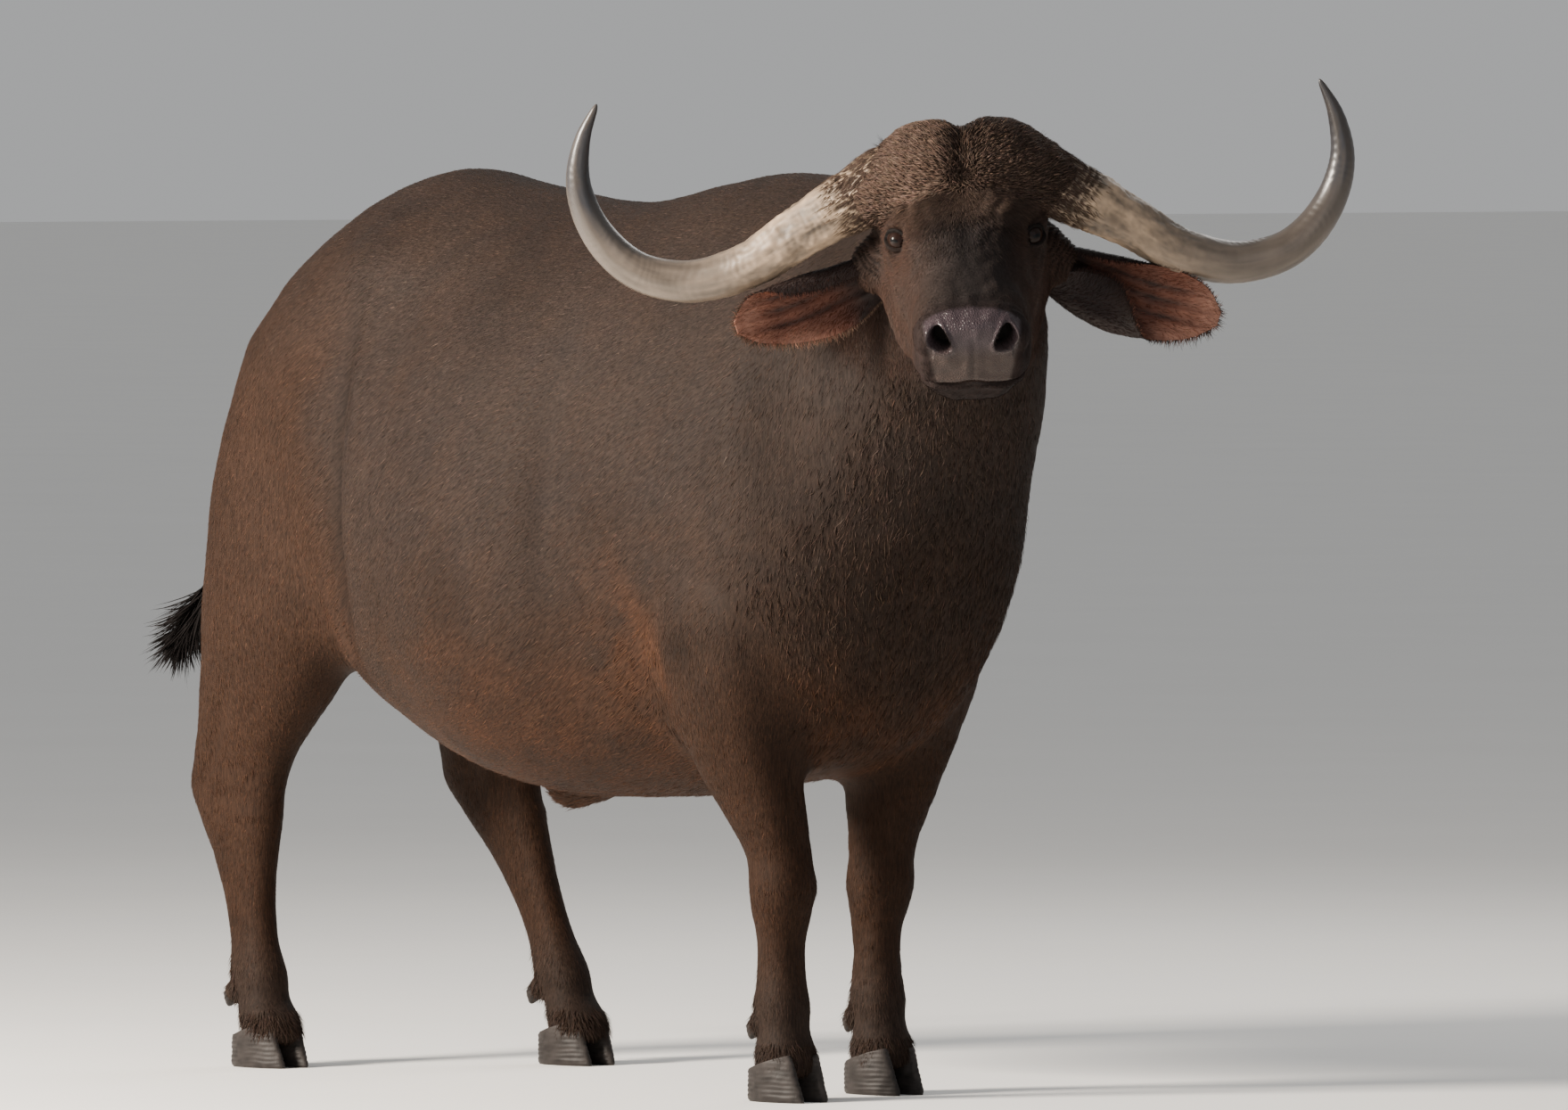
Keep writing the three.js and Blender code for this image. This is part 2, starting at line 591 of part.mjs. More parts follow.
// The line of the mouth: a thin arched sheet round the muzzle that reaches a little way in.
function mouthSolid() {
  const rings = shares(13).map((share) => {
    const y = lerp(-130, 130, share);
    const middle = MOUTH.z + MOUTH.arch * bell(y, 26);
    const corner = middle + MOUTH.cornerRise;
    return [
      vector(MOUTH.cornerX, y, corner - MOUTH.halfGape),
      vector(MOUTH.cornerX, y, corner + MOUTH.halfGape),
      vector(330, y, middle + MOUTH.halfGape),
      vector(330, y, middle - MOUTH.halfGape),
    ];
  });
  const inner = [MOUTH.z - 40, MOUTH.z + 40].map((z) =>
    around(16).map((angle) => {
      const [c, s] = [power(Math.cos(angle), 0.7), power(Math.sin(angle), 0.7)];
      return vector(MOUTH.innerX + MOUTH.innerLong * c, MOUTH.innerHalf * s, z);
    }),
  );
  const slot = solidOf(skinOver(rings).applyMatrix4(faceHead));
  return slot.subtract(solidOf(skinOver(inner).applyMatrix4(faceHead)));
}

// The head with both mounds, before its eyes, mouth and nostrils are cut.
function headForm(grow) {
  return skullSolid(grow).add(bossSolid(grow));
}

// The left ear's section at a share of its length: its middle, its arc's radius and bend, and its directions.
function earFrame({ tip, broad }, share) {
  const long = tip.clone().sub(EAR_ROOT);
  const along = long.clone().normalize();
  const open = EAR_OPEN.clone().addScaledVector(along, -EAR_OPEN.dot(along)).normalize();
  const across = open.clone().cross(along);
  const { along: reached, spread, bend, lift } = rowCurve(EAR, "along")(share);
  const centre = EAR_ROOT.clone().addScaledVector(long, reached).addScaledVector(across, lift);
  return { centre, radius: (broad * spread) / Math.sin(bend), bend, across, open };
}

// The ear as a curved leaf of one thickness. Each section is an arc that opens forward and a little down.
function earGeometry(ear) {
  const rings = shares(10).map((share) => {
    const { centre, radius, bend, across, open } = earFrame(ear, share);
    const arc = (part, inset) => {
      const angle = bend * (2 * part - 1);
      return centre
        .clone()
        .addScaledVector(across, (radius - inset) * Math.sin(angle))
        .addScaledVector(open, radius * Math.cos(bend) - (radius - inset) * Math.cos(angle));
    };
    const outer = shares(EAR_ARC).map((part) => arc(part, 0));
    const inner = shares(EAR_ARC).map((part) => arc(1 - part, EAR_THICK));
    return [...outer, ...inner];
  });
  return skinOver(rings);
}

// The ear's lower rim continued outwards: v is the way out from the rim and out the height over its middle.
function earRim(ear) {
  return (u, v, out) => {
    const { centre, radius, bend, across, open } = earFrame(ear, u);
    const r = radius - EAR_THICK / 2;
    const [c, s] = [Math.cos(bend), Math.sin(bend)];
    return centre
      .addScaledVector(across, -r * s - v * c + out * s)
      .addScaledVector(open, radius * c - r * c + v * s + out * c);
  };
}

// A flat tapered lock over a surface, from one (u, v) place to another, with a sunk root and a lifted tip.
function lockOn(surface, from, to, { width, thick, sink, lift }) {
  const place = (t, out) => surface(lerp(from[0], to[0], t), lerp(from[1], to[1], t), out);
  const rings = [0, 0.3, 0.65, 1].map((t, i) => {
    const girth = [0.75, 1, 0.72, 0.1][i];
    const out = lerp(-sink, lift, Math.sqrt(t));
    const point = place(t, out);
    const normal = place(t, out + 1).sub(point).normalize();
    const along = place(t + 0.02, out).sub(place(t - 0.02, out)).normalize();
    const sideways = normal.clone().cross(along).normalize().multiplyScalar((width / 2) * girth);
    const ridge = point.clone().addScaledVector(normal, thick * girth);
    return [point.clone().add(sideways), ridge, point.clone().sub(sideways)];
  });
  return skinOver(rings);
}

// Numbers from 0 to 1 that are the same in every run.
function randomFrom(seed) {
  let state = seed;
  return () => {
    state = (state * 1664525 + 1013904223) % 4294967296;
    return state / 4294967296;
  };
}

// The locks of the mounds part at the midline and lie outwards, down over the brow and back over the top.
function bossLocks() {
  const surface = tubeSurface(BOSS);
  const random = randomFrom(11);
  const length = tubeLength(BOSS);
  const locks = [];
  for (const side of [-1, 1]) {
    for (const column of [0.03, 0.115, 0.2, 0.285]) {
      for (const degrees of [-48, -10, 28, 66, 106]) {
        const share = 0.5 + side * (column + 0.03 * (random() - 0.5));
        const angle = -radians(degrees + 10 * (random() - 0.5));
        const reach = (BOSS_LOCK.long * (0.8 + 0.4 * random())) / length;
        const fall = radians(degrees < 40 ? 16 + 12 * random() : -8 - 16 * random());
        const size = 0.85 + 0.3 * random();
        const sizes = { ...BOSS_LOCK, width: BOSS_LOCK.width * size, lift: BOSS_LOCK.lift * size };
        locks.push(lockOn(surface, [share, angle], [share + side * reach, angle + fall], sizes));
      }
    }
  }
  return locks.map((lock) => solidOf(lock.applyMatrix4(levelHead)));
}

// The top of the skull in the face's frame, at x along the face and y aside.
function browSurface(x, y, out) {
  const back = HEAD[HEAD.length - 1].x;
  const { top, mid, upper, rake } = rowCurve(HEAD, "x")((HEAD[0].x - x) / (HEAD[0].x - back));
  const c = Math.min(Math.abs(y) / upper, 0.97) ** 1.35;
  const height = (1 - c * c) ** (1 / 2.4) * (top - mid + out);
  return vector(x + rake * height, y, mid + height);
}

// The locks of the forehead hang from the mounds. The left ones reach down to the brow.
function browLocks() {
  const random = randomFrom(5);
  const locks = [];
  for (const y of [-66, -40, -13, 13, 40, 66]) {
    const end = y > 30 ? 52 : 26 + 0.16 * Math.abs(y);
    for (const [start, stop] of [[-66, -14], [-24, end]]) {
      const from = [start + 8 * (random() - 0.5), y + 8 * (random() - 0.5)];
      const to = [stop + 12 * (random() - 0.5), y * 1.12 + 10 * (random() - 0.5)];
      locks.push(lockOn(browSurface, from, to, BROW_LOCK));
    }
  }
  return locks.map((lock) => solidOf(lock.applyMatrix4(faceHead)));
}

// The locks of the tail's tuft stand in turns round its core and splay to their tips.
function tuftLocks() {
  const surface = tubeSurface(TUFT);
  const random = randomFrom(23);
  return Array.from({ length: 21 }, (_, i) => {
    const share = 0.08 + 0.027 * i;
    const angle = i * 2.4;
    const end = Math.min(share + 0.62 + 0.16 * random(), 1.22);
    const size = 0.75 + 0.5 * random();
    const sizes = { ...TUFT_LOCK, width: TUFT_LOCK.width * size, lift: TUFT_LOCK.lift * size };
    return solidOf(lockOn(surface, [share, angle], [end, angle + 0.5 * (random() - 0.5)], sizes));
  });
}

// The fringe of hair along the ear's lower rim leans towards the tip.
function earLocks(ear) {
  const random = randomFrom(37);
  return [0.4, 0.52, 0.63, 0.73, 0.82, 0.9].map((share) => {
    const reach = 9 + 8 * random();
    return lockOn(earRim(ear), [share, -10], [Math.min(share + 0.15, 1.02), reach], EAR_LOCK);
  });
}

function earSolid(ear) {
  const pieces = [earGeometry(ear), ...earLocks(ear)];
  const sided = ear.side > 0 ? pieces : pieces.map(mirrored);
  return wasm.Manifold.union(sided.map((piece) => solidOf(piece.applyMatrix4(levelHead))));
}

// The plane over a foot's claws where the hair begins, as a normal and its distance from the origin.
function hairline(x) {
  const normal = vector(-HAIRLINE.slope, 0, 1).normalize();
  return { normal: normal.toArray(), offset: normal.dot(vector(x, 0, HAIRLINE.high)) };
}

// One claw about its foot's centre, with a flat sole on the ground.
function clawSolid(x, y, side) {
  const rings = [0, 0.1, 1].map((share) => {
    const heel = -lerp(CLAW.heel, CLAW.topHeel, share);
    const toe = lerp(CLAW.toe, CLAW.topToe, share);
    const inset = share === 0 ? 2 : 0;
    return around(10).map((angle) => {
      const [c, s] = [power(Math.cos(angle), 0.85), power(Math.sin(angle), 0.85)];
      const point = (c + 1) / 2;
      const along = lerp(heel + inset, toe - inset, point);
      const middle = CLAW.gap / 2 + CLAW.half - (CLAW.toeIn * point ** 2 * (1 - share)) / 2;
      const half = (CLAW.half - inset) * (1 - 0.5 * point ** 3);
      return vector(x + along, y + side * middle + half * s, share * CLAW.high);
    });
  });
  const { normal, offset } = hairline(x);
  return solidOf(skinOver(rings)).trimByPlane(normal.map((n) => -n), -offset);
}

// A dew claw behind the fetlock, pointing back and down.
function dewClawSolid(x, y, side) {
  const down = vector(-0.45, 0.1 * side, -1).normalize();
  const back = vector(-1, 0, 0.45).normalize();
  const across = down.clone().cross(back);
  const centre = vector(x - DEW_CLAW.back, y + side * DEW_CLAW.aside, DEW_CLAW.z);
  const sizes = [DEW_CLAW.halfHigh, DEW_CLAW.half * 0.8, DEW_CLAW.half];
  return ovalSolid(new THREE.Matrix4(), centre, [down, back, across], sizes, 6);
}

const SIDES = [
  [-1, "right"],
  [1, "left"],
];
const buffalo = new THREE.Group();

// Trunk, neck and legs are one form, which is then parted into its nodes.
const flesh = wasm.Manifold.union([spineSolid(0), ...LEGS.map((leg) => legSolid(leg, 0))]);
const cutNormal = vector(NECK_CUT.highZ - NECK_CUT.lowZ, 0, NECK_CUT.lowX - NECK_CUT.highX).normalize();
const cutAt = cutNormal.dot(vector(NECK_CUT.lowX, 0, NECK_CUT.lowZ));
const headGrown = headForm(GAP);
const spineGrown = spineSolid(GAP);
let torso = flesh.trimByPlane(cutNormal.clone().negate().toArray(), -cutAt);

for (const leg of LEGS) {
  const [line, depth] = leg.table === FORE_LEG ? [SHOULDER_LINE, SHOULDER_DEPTH] : [THIGH_LINE, THIGH_DEPTH];
  const rows = legRows(leg, LEG_COUNT);
  const foot = rows.find(({ z }) => z > HAIRLINE.high);
  const fetlock = rows.find(({ z }) => z > DEW_CLAW.z);
  const { normal, offset } = hairline(foot.x);
  const limb = flesh.intersect(outlineBlock(line, depth, leg.side, 0)).trimByPlane(normal, offset + GAP);
  buffalo.add(meshOf(limb, "leg_" + leg.name, "hide"));
  torso = torso.subtract(outlineBlock(line, depth, leg.side, GAP));
  for (const [side, name] of SIDES) {
    const dewClaw = dewClawSolid(fetlock.x, fetlock.y, side).subtract(legSolid(leg, GAP));
    buffalo.add(meshOf(clawSolid(foot.x, foot.y, side), "claw_" + leg.name + "_" + name, "hoof"));
    buffalo.add(meshOf(dewClaw, "dew_claw_" + leg.name + "_" + name, "hoof"));
  }
}
buffalo.add(meshOf(torso, "torso", "hide"));
buffalo.add(meshOf(flesh.trimByPlane(cutNormal.toArray(), cutAt + GAP).subtract(headGrown), "neck", "hide"));
buffalo.add(meshOf(solidOf(tubeGeometry(SHEATH, 6, 12, 0)).subtract(spineGrown), "sheath", "hide"));

// The tail's end is hollowed for the tuft's core, and the tuft's locks stay clear of the tail.
const tuft = wasm.Manifold.union([solidOf(tubeGeometry(TUFT, 6, 8, 0)), ...tuftLocks()]);
const tuftClear = solidOf(tubeGeometry(TUFT, 6, 8, GAP));
const tailForm = (grow) => solidOf(tubeGeometry(TAIL, 18, 10, grow)).subtract(tuftClear);
buffalo.add(meshOf(tailForm(0).subtract(spineGrown), "tail", "hide"));
buffalo.add(meshOf(tuft.subtract(tailForm(GAP)), "tail_tuft", "tuft"));

// The locks stay clear of the horns where those come out of the mounds.
const horns = SIDES.map(([side]) => hornSolid(side, 0).subtract(headGrown));
const hornsClear = wasm.Manifold.union(SIDES.map(([side]) => hornSolid(side, GAP))).subtract(headForm(0));
const locks = wasm.Manifold.union([...bossLocks(), ...browLocks()]).subtract(hornsClear);
const lids = SIDES.map(([side]) => eyeSolid(side, EYE.radius + LID.thick));
const hollowsOf = (side) => [eyeSolid(side, EYE.radius + GAP), slitSolid(side), nostrilSolid(side)];
const hollows = [mouthSolid(), ...SIDES.flatMap(([side]) => hollowsOf(side))];
const head = wasm.Manifold.union([headForm(0), locks, ...lids]).subtract(wasm.Manifold.union(hollows));
buffalo.add(meshOf(head, "head", "face"));

SIDES.forEach(([side, name], i) => {
  buffalo.add(meshOf(horns[i], "horn_" + name, "horn"));
  buffalo.add(meshOf(eyeSolid(side, EYE.radius), "eye_" + name, "eye"));
});
for (const ear of EARS) {
  const clear = wasm.Manifold.union([headGrown, spineGrown, hornSolid(ear.side, GAP)]);
  buffalo.add(meshOf(earSolid(ear).subtract(clear), "ear_" + ear.name, "ear"));
}

// The group stands with the middle of its footprint box at the origin.
const bounds = new THREE.Box3().setFromObject(buffalo);
const middle = bounds.getCenter(vector(0, 0, 0));
buffalo.position.set(-middle.x, -middle.y, -bounds.min.z);

export default buffalo;
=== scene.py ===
"""The looks of a life-size young African buffalo bull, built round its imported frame.

Lengths in the tables are millimetres in the animal's own frame: +X from rump to chest, +Y to its left and
+Z up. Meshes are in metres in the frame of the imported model.
"""

import logging
import math
from collections.abc import Callable
from dataclasses import dataclass, field
from enum import Enum

import bpy
import numpy as np
from mathutils import Matrix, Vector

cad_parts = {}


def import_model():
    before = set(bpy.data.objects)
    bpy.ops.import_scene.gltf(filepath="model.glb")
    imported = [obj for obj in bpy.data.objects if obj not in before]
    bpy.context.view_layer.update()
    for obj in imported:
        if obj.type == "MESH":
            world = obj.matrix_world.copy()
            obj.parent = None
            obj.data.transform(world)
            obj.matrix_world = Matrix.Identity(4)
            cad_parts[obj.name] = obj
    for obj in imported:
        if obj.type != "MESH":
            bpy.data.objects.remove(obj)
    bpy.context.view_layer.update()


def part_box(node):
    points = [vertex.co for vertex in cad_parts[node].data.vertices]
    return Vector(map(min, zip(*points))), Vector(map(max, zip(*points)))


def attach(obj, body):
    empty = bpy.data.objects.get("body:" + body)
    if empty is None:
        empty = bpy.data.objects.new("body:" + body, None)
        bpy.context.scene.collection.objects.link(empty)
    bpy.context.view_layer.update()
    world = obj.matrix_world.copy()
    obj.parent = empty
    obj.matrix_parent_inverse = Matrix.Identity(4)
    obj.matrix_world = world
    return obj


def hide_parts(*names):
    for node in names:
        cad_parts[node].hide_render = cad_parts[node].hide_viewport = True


log = logging.getLogger("buffalo")

Array = np.ndarray
MM = 0.001
SIDES = {"right": -1, "left": 1}
LEG_NAMES = ("fore_right", "fore_left", "hind_right", "hind_left")


class Slot(Enum):
    """Names for the material slots."""

    HIDE = "hide"
    EAR = "ear"
    TUFT = "tuft"
    HORN = "horn"
    HOOF = "hoof"
    EYE = "eye"


class Part(Enum):
    """The regions of the skin, which have their own lie of hair and their own place on the unwrap."""

    SPINE = 0
    FORE_RIGHT = 1
    FORE_LEFT = 2
    HIND_RIGHT = 3
    HIND_LEFT = 4
    HEAD = 5
    BOSS = 6
    TAIL = 7


# Small maths.


def power(value: Array, exponent: Array | float) -> Array:
    """The signed power sign(v) |v|^e."""
    return np.sign(value) * np.abs(value) ** exponent


def bell(value: Array, spread: float) -> Array:
    """exp(-(v / spread)^2)."""
    return np.exp(-((value / spread) ** 2))


def ease(t: Array) -> Array:
    """s^2 (3 - 2 s) with s = t held between 0 and 1."""
    s = np.clip(t, 0.0, 1.0)
    return s * s * (3.0 - 2.0 * s)


def mix(a: Array | float, b: Array | float, t: Array | float) -> Array:
    """a + (b - a) t."""
    return a + (b - a) * t


def blend(a: Array, b: Array, t: Array) -> Array:
    """The mix of two colours or directions, or of rows of them, by a t for each row held between 0 and 1."""
    return mix(a, b, np.clip(t, 0, 1)[:, None])


def unit(v: Array) -> Array:
    """Vectors at length one."""
    return v / np.maximum(np.linalg.norm(v, axis=-1, keepdims=True), 1e-12)


def curve_through(at: Array, value: Array, t: Array) -> Array:
    """Smooth values between rows: cubics whose slope at a row is that of the parabola through three rows.

    Args:
        at: Where the rows stand, rising, of shape (n,).
        value: What they hold, of shape (n, k).
        t: Where to read, of shape (m,).

    Returns:
        The values there, of shape (m, k).
    """
    step = np.diff(at)[:, None]
    rise = np.diff(value, axis=0) / step
    slope = np.empty_like(value)
    slope[0], slope[-1] = rise[0], rise[-1]
    slope[1:-1] = (step[:-1] * rise[1:] + step[1:] * rise[:-1]) / (step[:-1] + step[1:])
    i = np.clip(np.searchsorted(at, t, side="left") - 1, 0, len(at) - 2)
    h = step[i]
    s = ((t - at[i]) / h[:, 0])[:, None]
    return (
        value[i] * (1 + 2 * s) * (1 - s) ** 2
        + slope[i] * h * s * (1 - s) ** 2
        + value[i + 1] * s * s * (3 - 2 * s)
        + slope[i + 1] * h * s * s * (s - 1)
    )


def walk(rows: Array, share: Array) -> Array:
    """Rows at shares, 0 to 1, of the way along their centres, which are their first three columns."""
    gone = np.r_[0, np.cumsum(np.linalg.norm(np.diff(rows[:, :3], axis=0), axis=1))]
    return curve_through(gone, rows, np.asarray(share, float) * gone[-1])


def on_left(points: Array) -> Array:
    """Points with those on the right mirrored to the left."""
    return np.where([False, True, False], np.abs(points), points)


def turn(axis: int, degrees: float) -> Array:
    """The 3 by 3 matrix of a turn about X, Y or Z, as 0, 1 or 2."""
    c, s = math.cos(math.radians(degrees)), math.sin(math.radians(degrees))
    j, k = (axis + 1) % 3, (axis + 2) % 3
    made = np.eye(3)
    made[j, j] = made[k, k] = c
    made[j, k], made[k, j] = -s, s
    return made


def ripple(points: Array, scale: float, seed: int) -> Array:
    """Smooth noise: the mean of eight sines of random direction, phase and length near scale.

    Args:
        points: Places of shape (n, 3), in millimetres.
        scale: The rough size of a swell, in millimetres.
        seed: Picks the directions.

    Returns:
        Values from about -1 to 1, of shape (n,).
    """
    rng = np.random.default_rng(seed)
    direction = unit(rng.normal(size=(8, 3)))
    wave = 2 * np.pi / (scale * rng.uniform(0.6, 1.6, 8))
    phase = rng.uniform(0, 2 * np.pi, 8)
    return np.sin(points @ direction.T * wave + phase).mean(1) * 2.2


def lattice(points: Array, scale: float, seed: int) -> Array:
    """Value noise: random numbers from -1 to 1 at the corners of a cubic lattice, eased between them."""
    p = points / scale
    cell = np.floor(p).astype(np.int64)
    f = ease(p - cell)
    total = np.zeros(len(p))
    for corner in np.ndindex(2, 2, 2):
        key = ((cell + corner) @ np.array([73856093, 19349663, 83492791]) + seed * 7919) & 0xFFFFFFFF
        key = ((key ^ (key >> 15)) * 2246822519) & 0xFFFFFFFF
        key = ((key ^ (key >> 13)) * 3266489917) & 0xFFFFFFFF
        value = ((key ^ (key >> 16)) & 0xFFFFFF) / 0x7FFFFF - 1
        total += value * np.prod(np.where(corner, f, 1 - f), axis=1)
    return total


def rough(points: Array, scale: float, seed: int, layers: int = 3) -> Array:
    """Lattice noise with finer layers, each half the size and 0.55 of the height of the one before."""
    return sum(0.55**k * lattice(points, scale / 2**k, seed + k) for k in range(layers))


# The animal's measures.


@dataclass(frozen=True)
class Relief:
    """Swellings and hollows on a form: rows of (x, z, spread along x, spread along z, height out)."""

    rows: tuple[tuple[float, float, float, float, float], ...]

    def out(self, x: Array, z: Array) -> Array:
        """The sum of out * bell(x - x0) * bell(z - z0) over the rows."""
        return sum(o * bell(x - x0, sx) * bell(z - z0, sz) for x0, z0, sx, sz, o in self.rows)


@dataclass(frozen=True)
class Spine:
    """Trunk and neck, from the buttocks to the poll."""

    # x, top, bottom, height of the broadest point, half width there
    trunk: tuple = (
        (-818, 1110, 990, 1050, 46), (-806, 1165, 900, 1045, 128), (-770, 1232, 800, 1040, 205),
        (-700, 1308, 720, 1030, 262), (-580, 1388, 650, 1020, 290), (-430, 1430, 546, 970, 308),
        (-250, 1412, 474, 905, 352), (-60, 1386, 445, 865, 385), (110, 1386, 448, 870, 370),
        (270, 1412, 458, 890, 318), (400, 1430, 476, 925, 280), (500, 1427, 494, 950, 272),
    )
    # crest x, crest z, throat x, throat z, y, yaw, half width, share of the height where it is broadest
    neck: tuple = (
        (575, 1422, 628, 545, -1, -4, 272, 0.5), (645, 1415, 716, 668, -6, -8, 238, 0.48),
        (712, 1409, 772, 800, -14, -14, 204, 0.46), (784, 1404, 828, 918, -30, -21, 176, 0.45),
        (854, 1400, 886, 1022, -54, -28, 148, 0.45), (915, 1388, 938, 1112, -84, -34, 112, 0.45),
    )
    forms: Relief = Relief((
        (400, 1120, 120, 190, 20), (215, 960, 62, 260, -13), (-385, 1282, 75, 55, 34),
        (-235, 1190, 100, 95, -24), (-400, 640, 90, 80, 26), (-385, 950, 40, 210, -22),
        (-765, 1150, 60, 50, 14), (700, 1010, 60, 130, -12),
    ))

    def rows(self) -> Array:
        """The rows in one form: x, y, z, reach up, reach down, half width, yaw, pitch."""
        rows = [[x, 0, wide, top - wide, wide - low, half, 0, 0] for x, top, low, wide, half in self.trunk]
        for crest_x, crest_z, throat_x, throat_z, y, yaw, half, share in self.neck:
            long = math.hypot(crest_x - throat_x, crest_z - throat_z)
            pitch = math.degrees(math.atan2(throat_x - crest_x, crest_z - throat_z))
            x, z = mix(throat_x, crest_x, share), mix(throat_z, crest_z, share)
            rows.append([x, y, z, long * (1 - share), long * share, half, yaw, pitch])
        return np.array(rows, float)

    def at(self, share: Array) -> Array:
        """Rows at shares of the length."""
        return walk(self.rows(), share)

    @staticmethod
    def axes(rows: Array) -> tuple[Array, Array, Array]:
        """Forward, left and up of each row: Rz(yaw) Ry(-pitch) on the three axes."""
        yaw, pitch = np.radians(rows[:, 6]), np.radians(rows[:, 7])
        level = np.cos(pitch)
        forward = np.stack([np.cos(yaw) * level, np.sin(yaw) * level, np.sin(pitch)], 1)
        left = np.stack([-np.sin(yaw), np.cos(yaw), 0 * yaw], 1)
        return forward, left, np.cross(forward, left)

    def surface(self, share: Array, angle: Array, grow: float) -> Array:
        """Superellipse sections, 1.85 above and 2.25 below, with the forms added on the flanks."""
        rows = self.at(share)
        _, left, up = self.axes(rows)
        c, s = np.cos(angle), np.sin(angle)
        shape = np.where(s > 0, 2 / 1.85, 2 / 2.25)
        height = power(s, shape) * (np.where(s > 0, rows[:, 3], rows[:, 4]) + grow)
        out = self.forms.out(rows[:, 0], rows[:, 2] + height) * power(c, 0.6)
        side = power(c, shape) * (rows[:, 5] + grow) + out
        return rows[:, :3] + left * side[:, None] + up * height[:, None]

    def place(self, points: Array) -> tuple[Array, Array]:
        """The share along the spine and the angle round it of points near it.

        The share is where the section's plane passes through the point: the least |(p - centre) . forward|.

        Args:
            points: Places of shape (n, 3), in millimetres.

        Returns:
            Shares and angles, each of shape (n,).
        """
        shares = np.linspace(0, 1, 90)
        rows = self.at(shares)
        forward, left, up = self.axes(rows)
        ahead = points @ forward.T - (rows[:, :3] * forward).sum(1)
        i = np.abs(ahead).argmin(1)
        d = points - rows[i, :3]
        return shares[i], np.arctan2((d * up[i]).sum(1), (d * left[i]).sum(1))


@dataclass(frozen=True)
class Leg:
    """One leg: rows of (z, x, y, half size fore and aft, half size across) and where its foot stands."""

    name: str
    side: int
    table: tuple
    foot_x: float
    foot_y: float
    fade: tuple[float, float]

    def at(self, z: Array) -> Array:
        """Rows at heights z: x, y, half size fore and aft, half size across."""
        table = np.array(self.table, float)
        rows = curve_through(table[:, 0], table[:, 1:], z)
        share = 1 - ease((z - self.fade[0]) / (self.fade[1] - self.fade[0]))
        rows[:, 0] += self.foot_x * share
        rows[:, 1] = self.side * (rows[:, 1] + self.foot_y * share)
        return rows

    def surface(self, z: Array, angle: Array, grow: float) -> Array:
        """Superellipse sections of exponent 2.3 at heights z."""
        rows = self.at(z)
        c, s = power(np.cos(angle), 2 / 2.3), power(np.sin(angle), 2 / 2.3)
        x = rows[:, 0] + (rows[:, 2] + grow) * c
        y = rows[:, 1] + (rows[:, 3] + grow) * s
        return np.stack([x, y, z], 1)

    def reach(self, points: Array) -> Array:
        """How far out points lie, as a multiple of the leg's half sizes at their height."""
        rows = self.at(np.clip(points[:, 2], self.table[0][0], self.table[-1][0]))
        return np.hypot((points[:, 0] - rows[:, 0]) / rows[:, 2], (points[:, 1] - rows[:, 1]) / rows[:, 3])

    def angle(self, points: Array) -> Array:
        """The angle of points round the leg."""
        rows = self.at(np.clip(points[:, 2], self.table[0][0], self.table[-1][0]))
        return np.arctan2(points[:, 1] - rows[:, 1], points[:, 0] - rows[:, 0])


FORE = (
    (26, 506, 120, 40, 42), (52, 505, 120, 47, 49), (76, 503, 120, 48, 49), (108, 499, 120, 42, 42),
    (145, 494, 120, 46, 45), (190, 492, 120, 41, 40), (250, 492, 120, 40, 40), (292, 495, 121, 47, 49),
    (330, 498, 121, 54, 54), (372, 496, 123, 54, 52), (430, 489, 133, 67, 60), (505, 479, 149, 92, 73),
    (580, 473, 164, 114, 87), (670, 480, 176, 128, 96), (770, 488, 180, 124, 94), (860, 486, 152, 96, 74),
    (910, 480, 120, 50, 40),
)
HIND = (
    (26, -655, 185, 40, 42), (52, -656, 185, 47, 48), (76, -664, 185, 48, 48), (108, -680, 185, 43, 42),
    (145, -692, 185, 50, 43), (200, -706, 185, 46, 36), (270, -722, 185, 52, 36), (335, -738, 186, 68, 41),
    (395, -754, 187, 90, 49), (445, -765, 188, 108, 51), (492, -750, 189, 111, 56), (550, -720, 190, 128, 68),
    (630, -682, 188, 156, 90), (720, -646, 182, 188, 112), (830, -624, 174, 197, 124),
    (950, -618, 162, 196, 128), (1070, -616, 142, 180, 116), (1160, -614, 110, 130, 78),
)
LEGS = (
    Leg("fore_right", -1, FORE, 38, 0, (300, 620)),
    Leg("fore_left", 1, FORE, -28, 0, (300, 620)),
    Leg("hind_right", -1, HIND, -42, 0, (100, 760)),
    Leg("hind_left", 1, HIND, 204, 56, (40, 900)),
)


@dataclass(frozen=True)
class Frame:
    """A turned frame in the animal's own: points there are place + matrix p."""

    place: Array
    matrix: Array

    def out(self, points: Array) -> Array:
        """Points of this frame in the animal's."""
        return points @ self.matrix.T + self.place

    def within(self, points: Array) -> Array:
        """The animal's points in this frame."""
        return (points - self.place) @ self.matrix

    def turned(self, vectors: Array) -> Array:
        """Directions of this frame in the animal's."""
        return vectors @ self.matrix.T


# The level head frame lies between the eyes: x ahead, y to the left and z up. The face frame is pitched down.
LEVEL = Frame(np.array([1033.0, -161.0, 1335.0]), turn(2, -37) @ turn(0, 2))
FACE = Frame(LEVEL.place, LEVEL.matrix @ turn(1, 32))


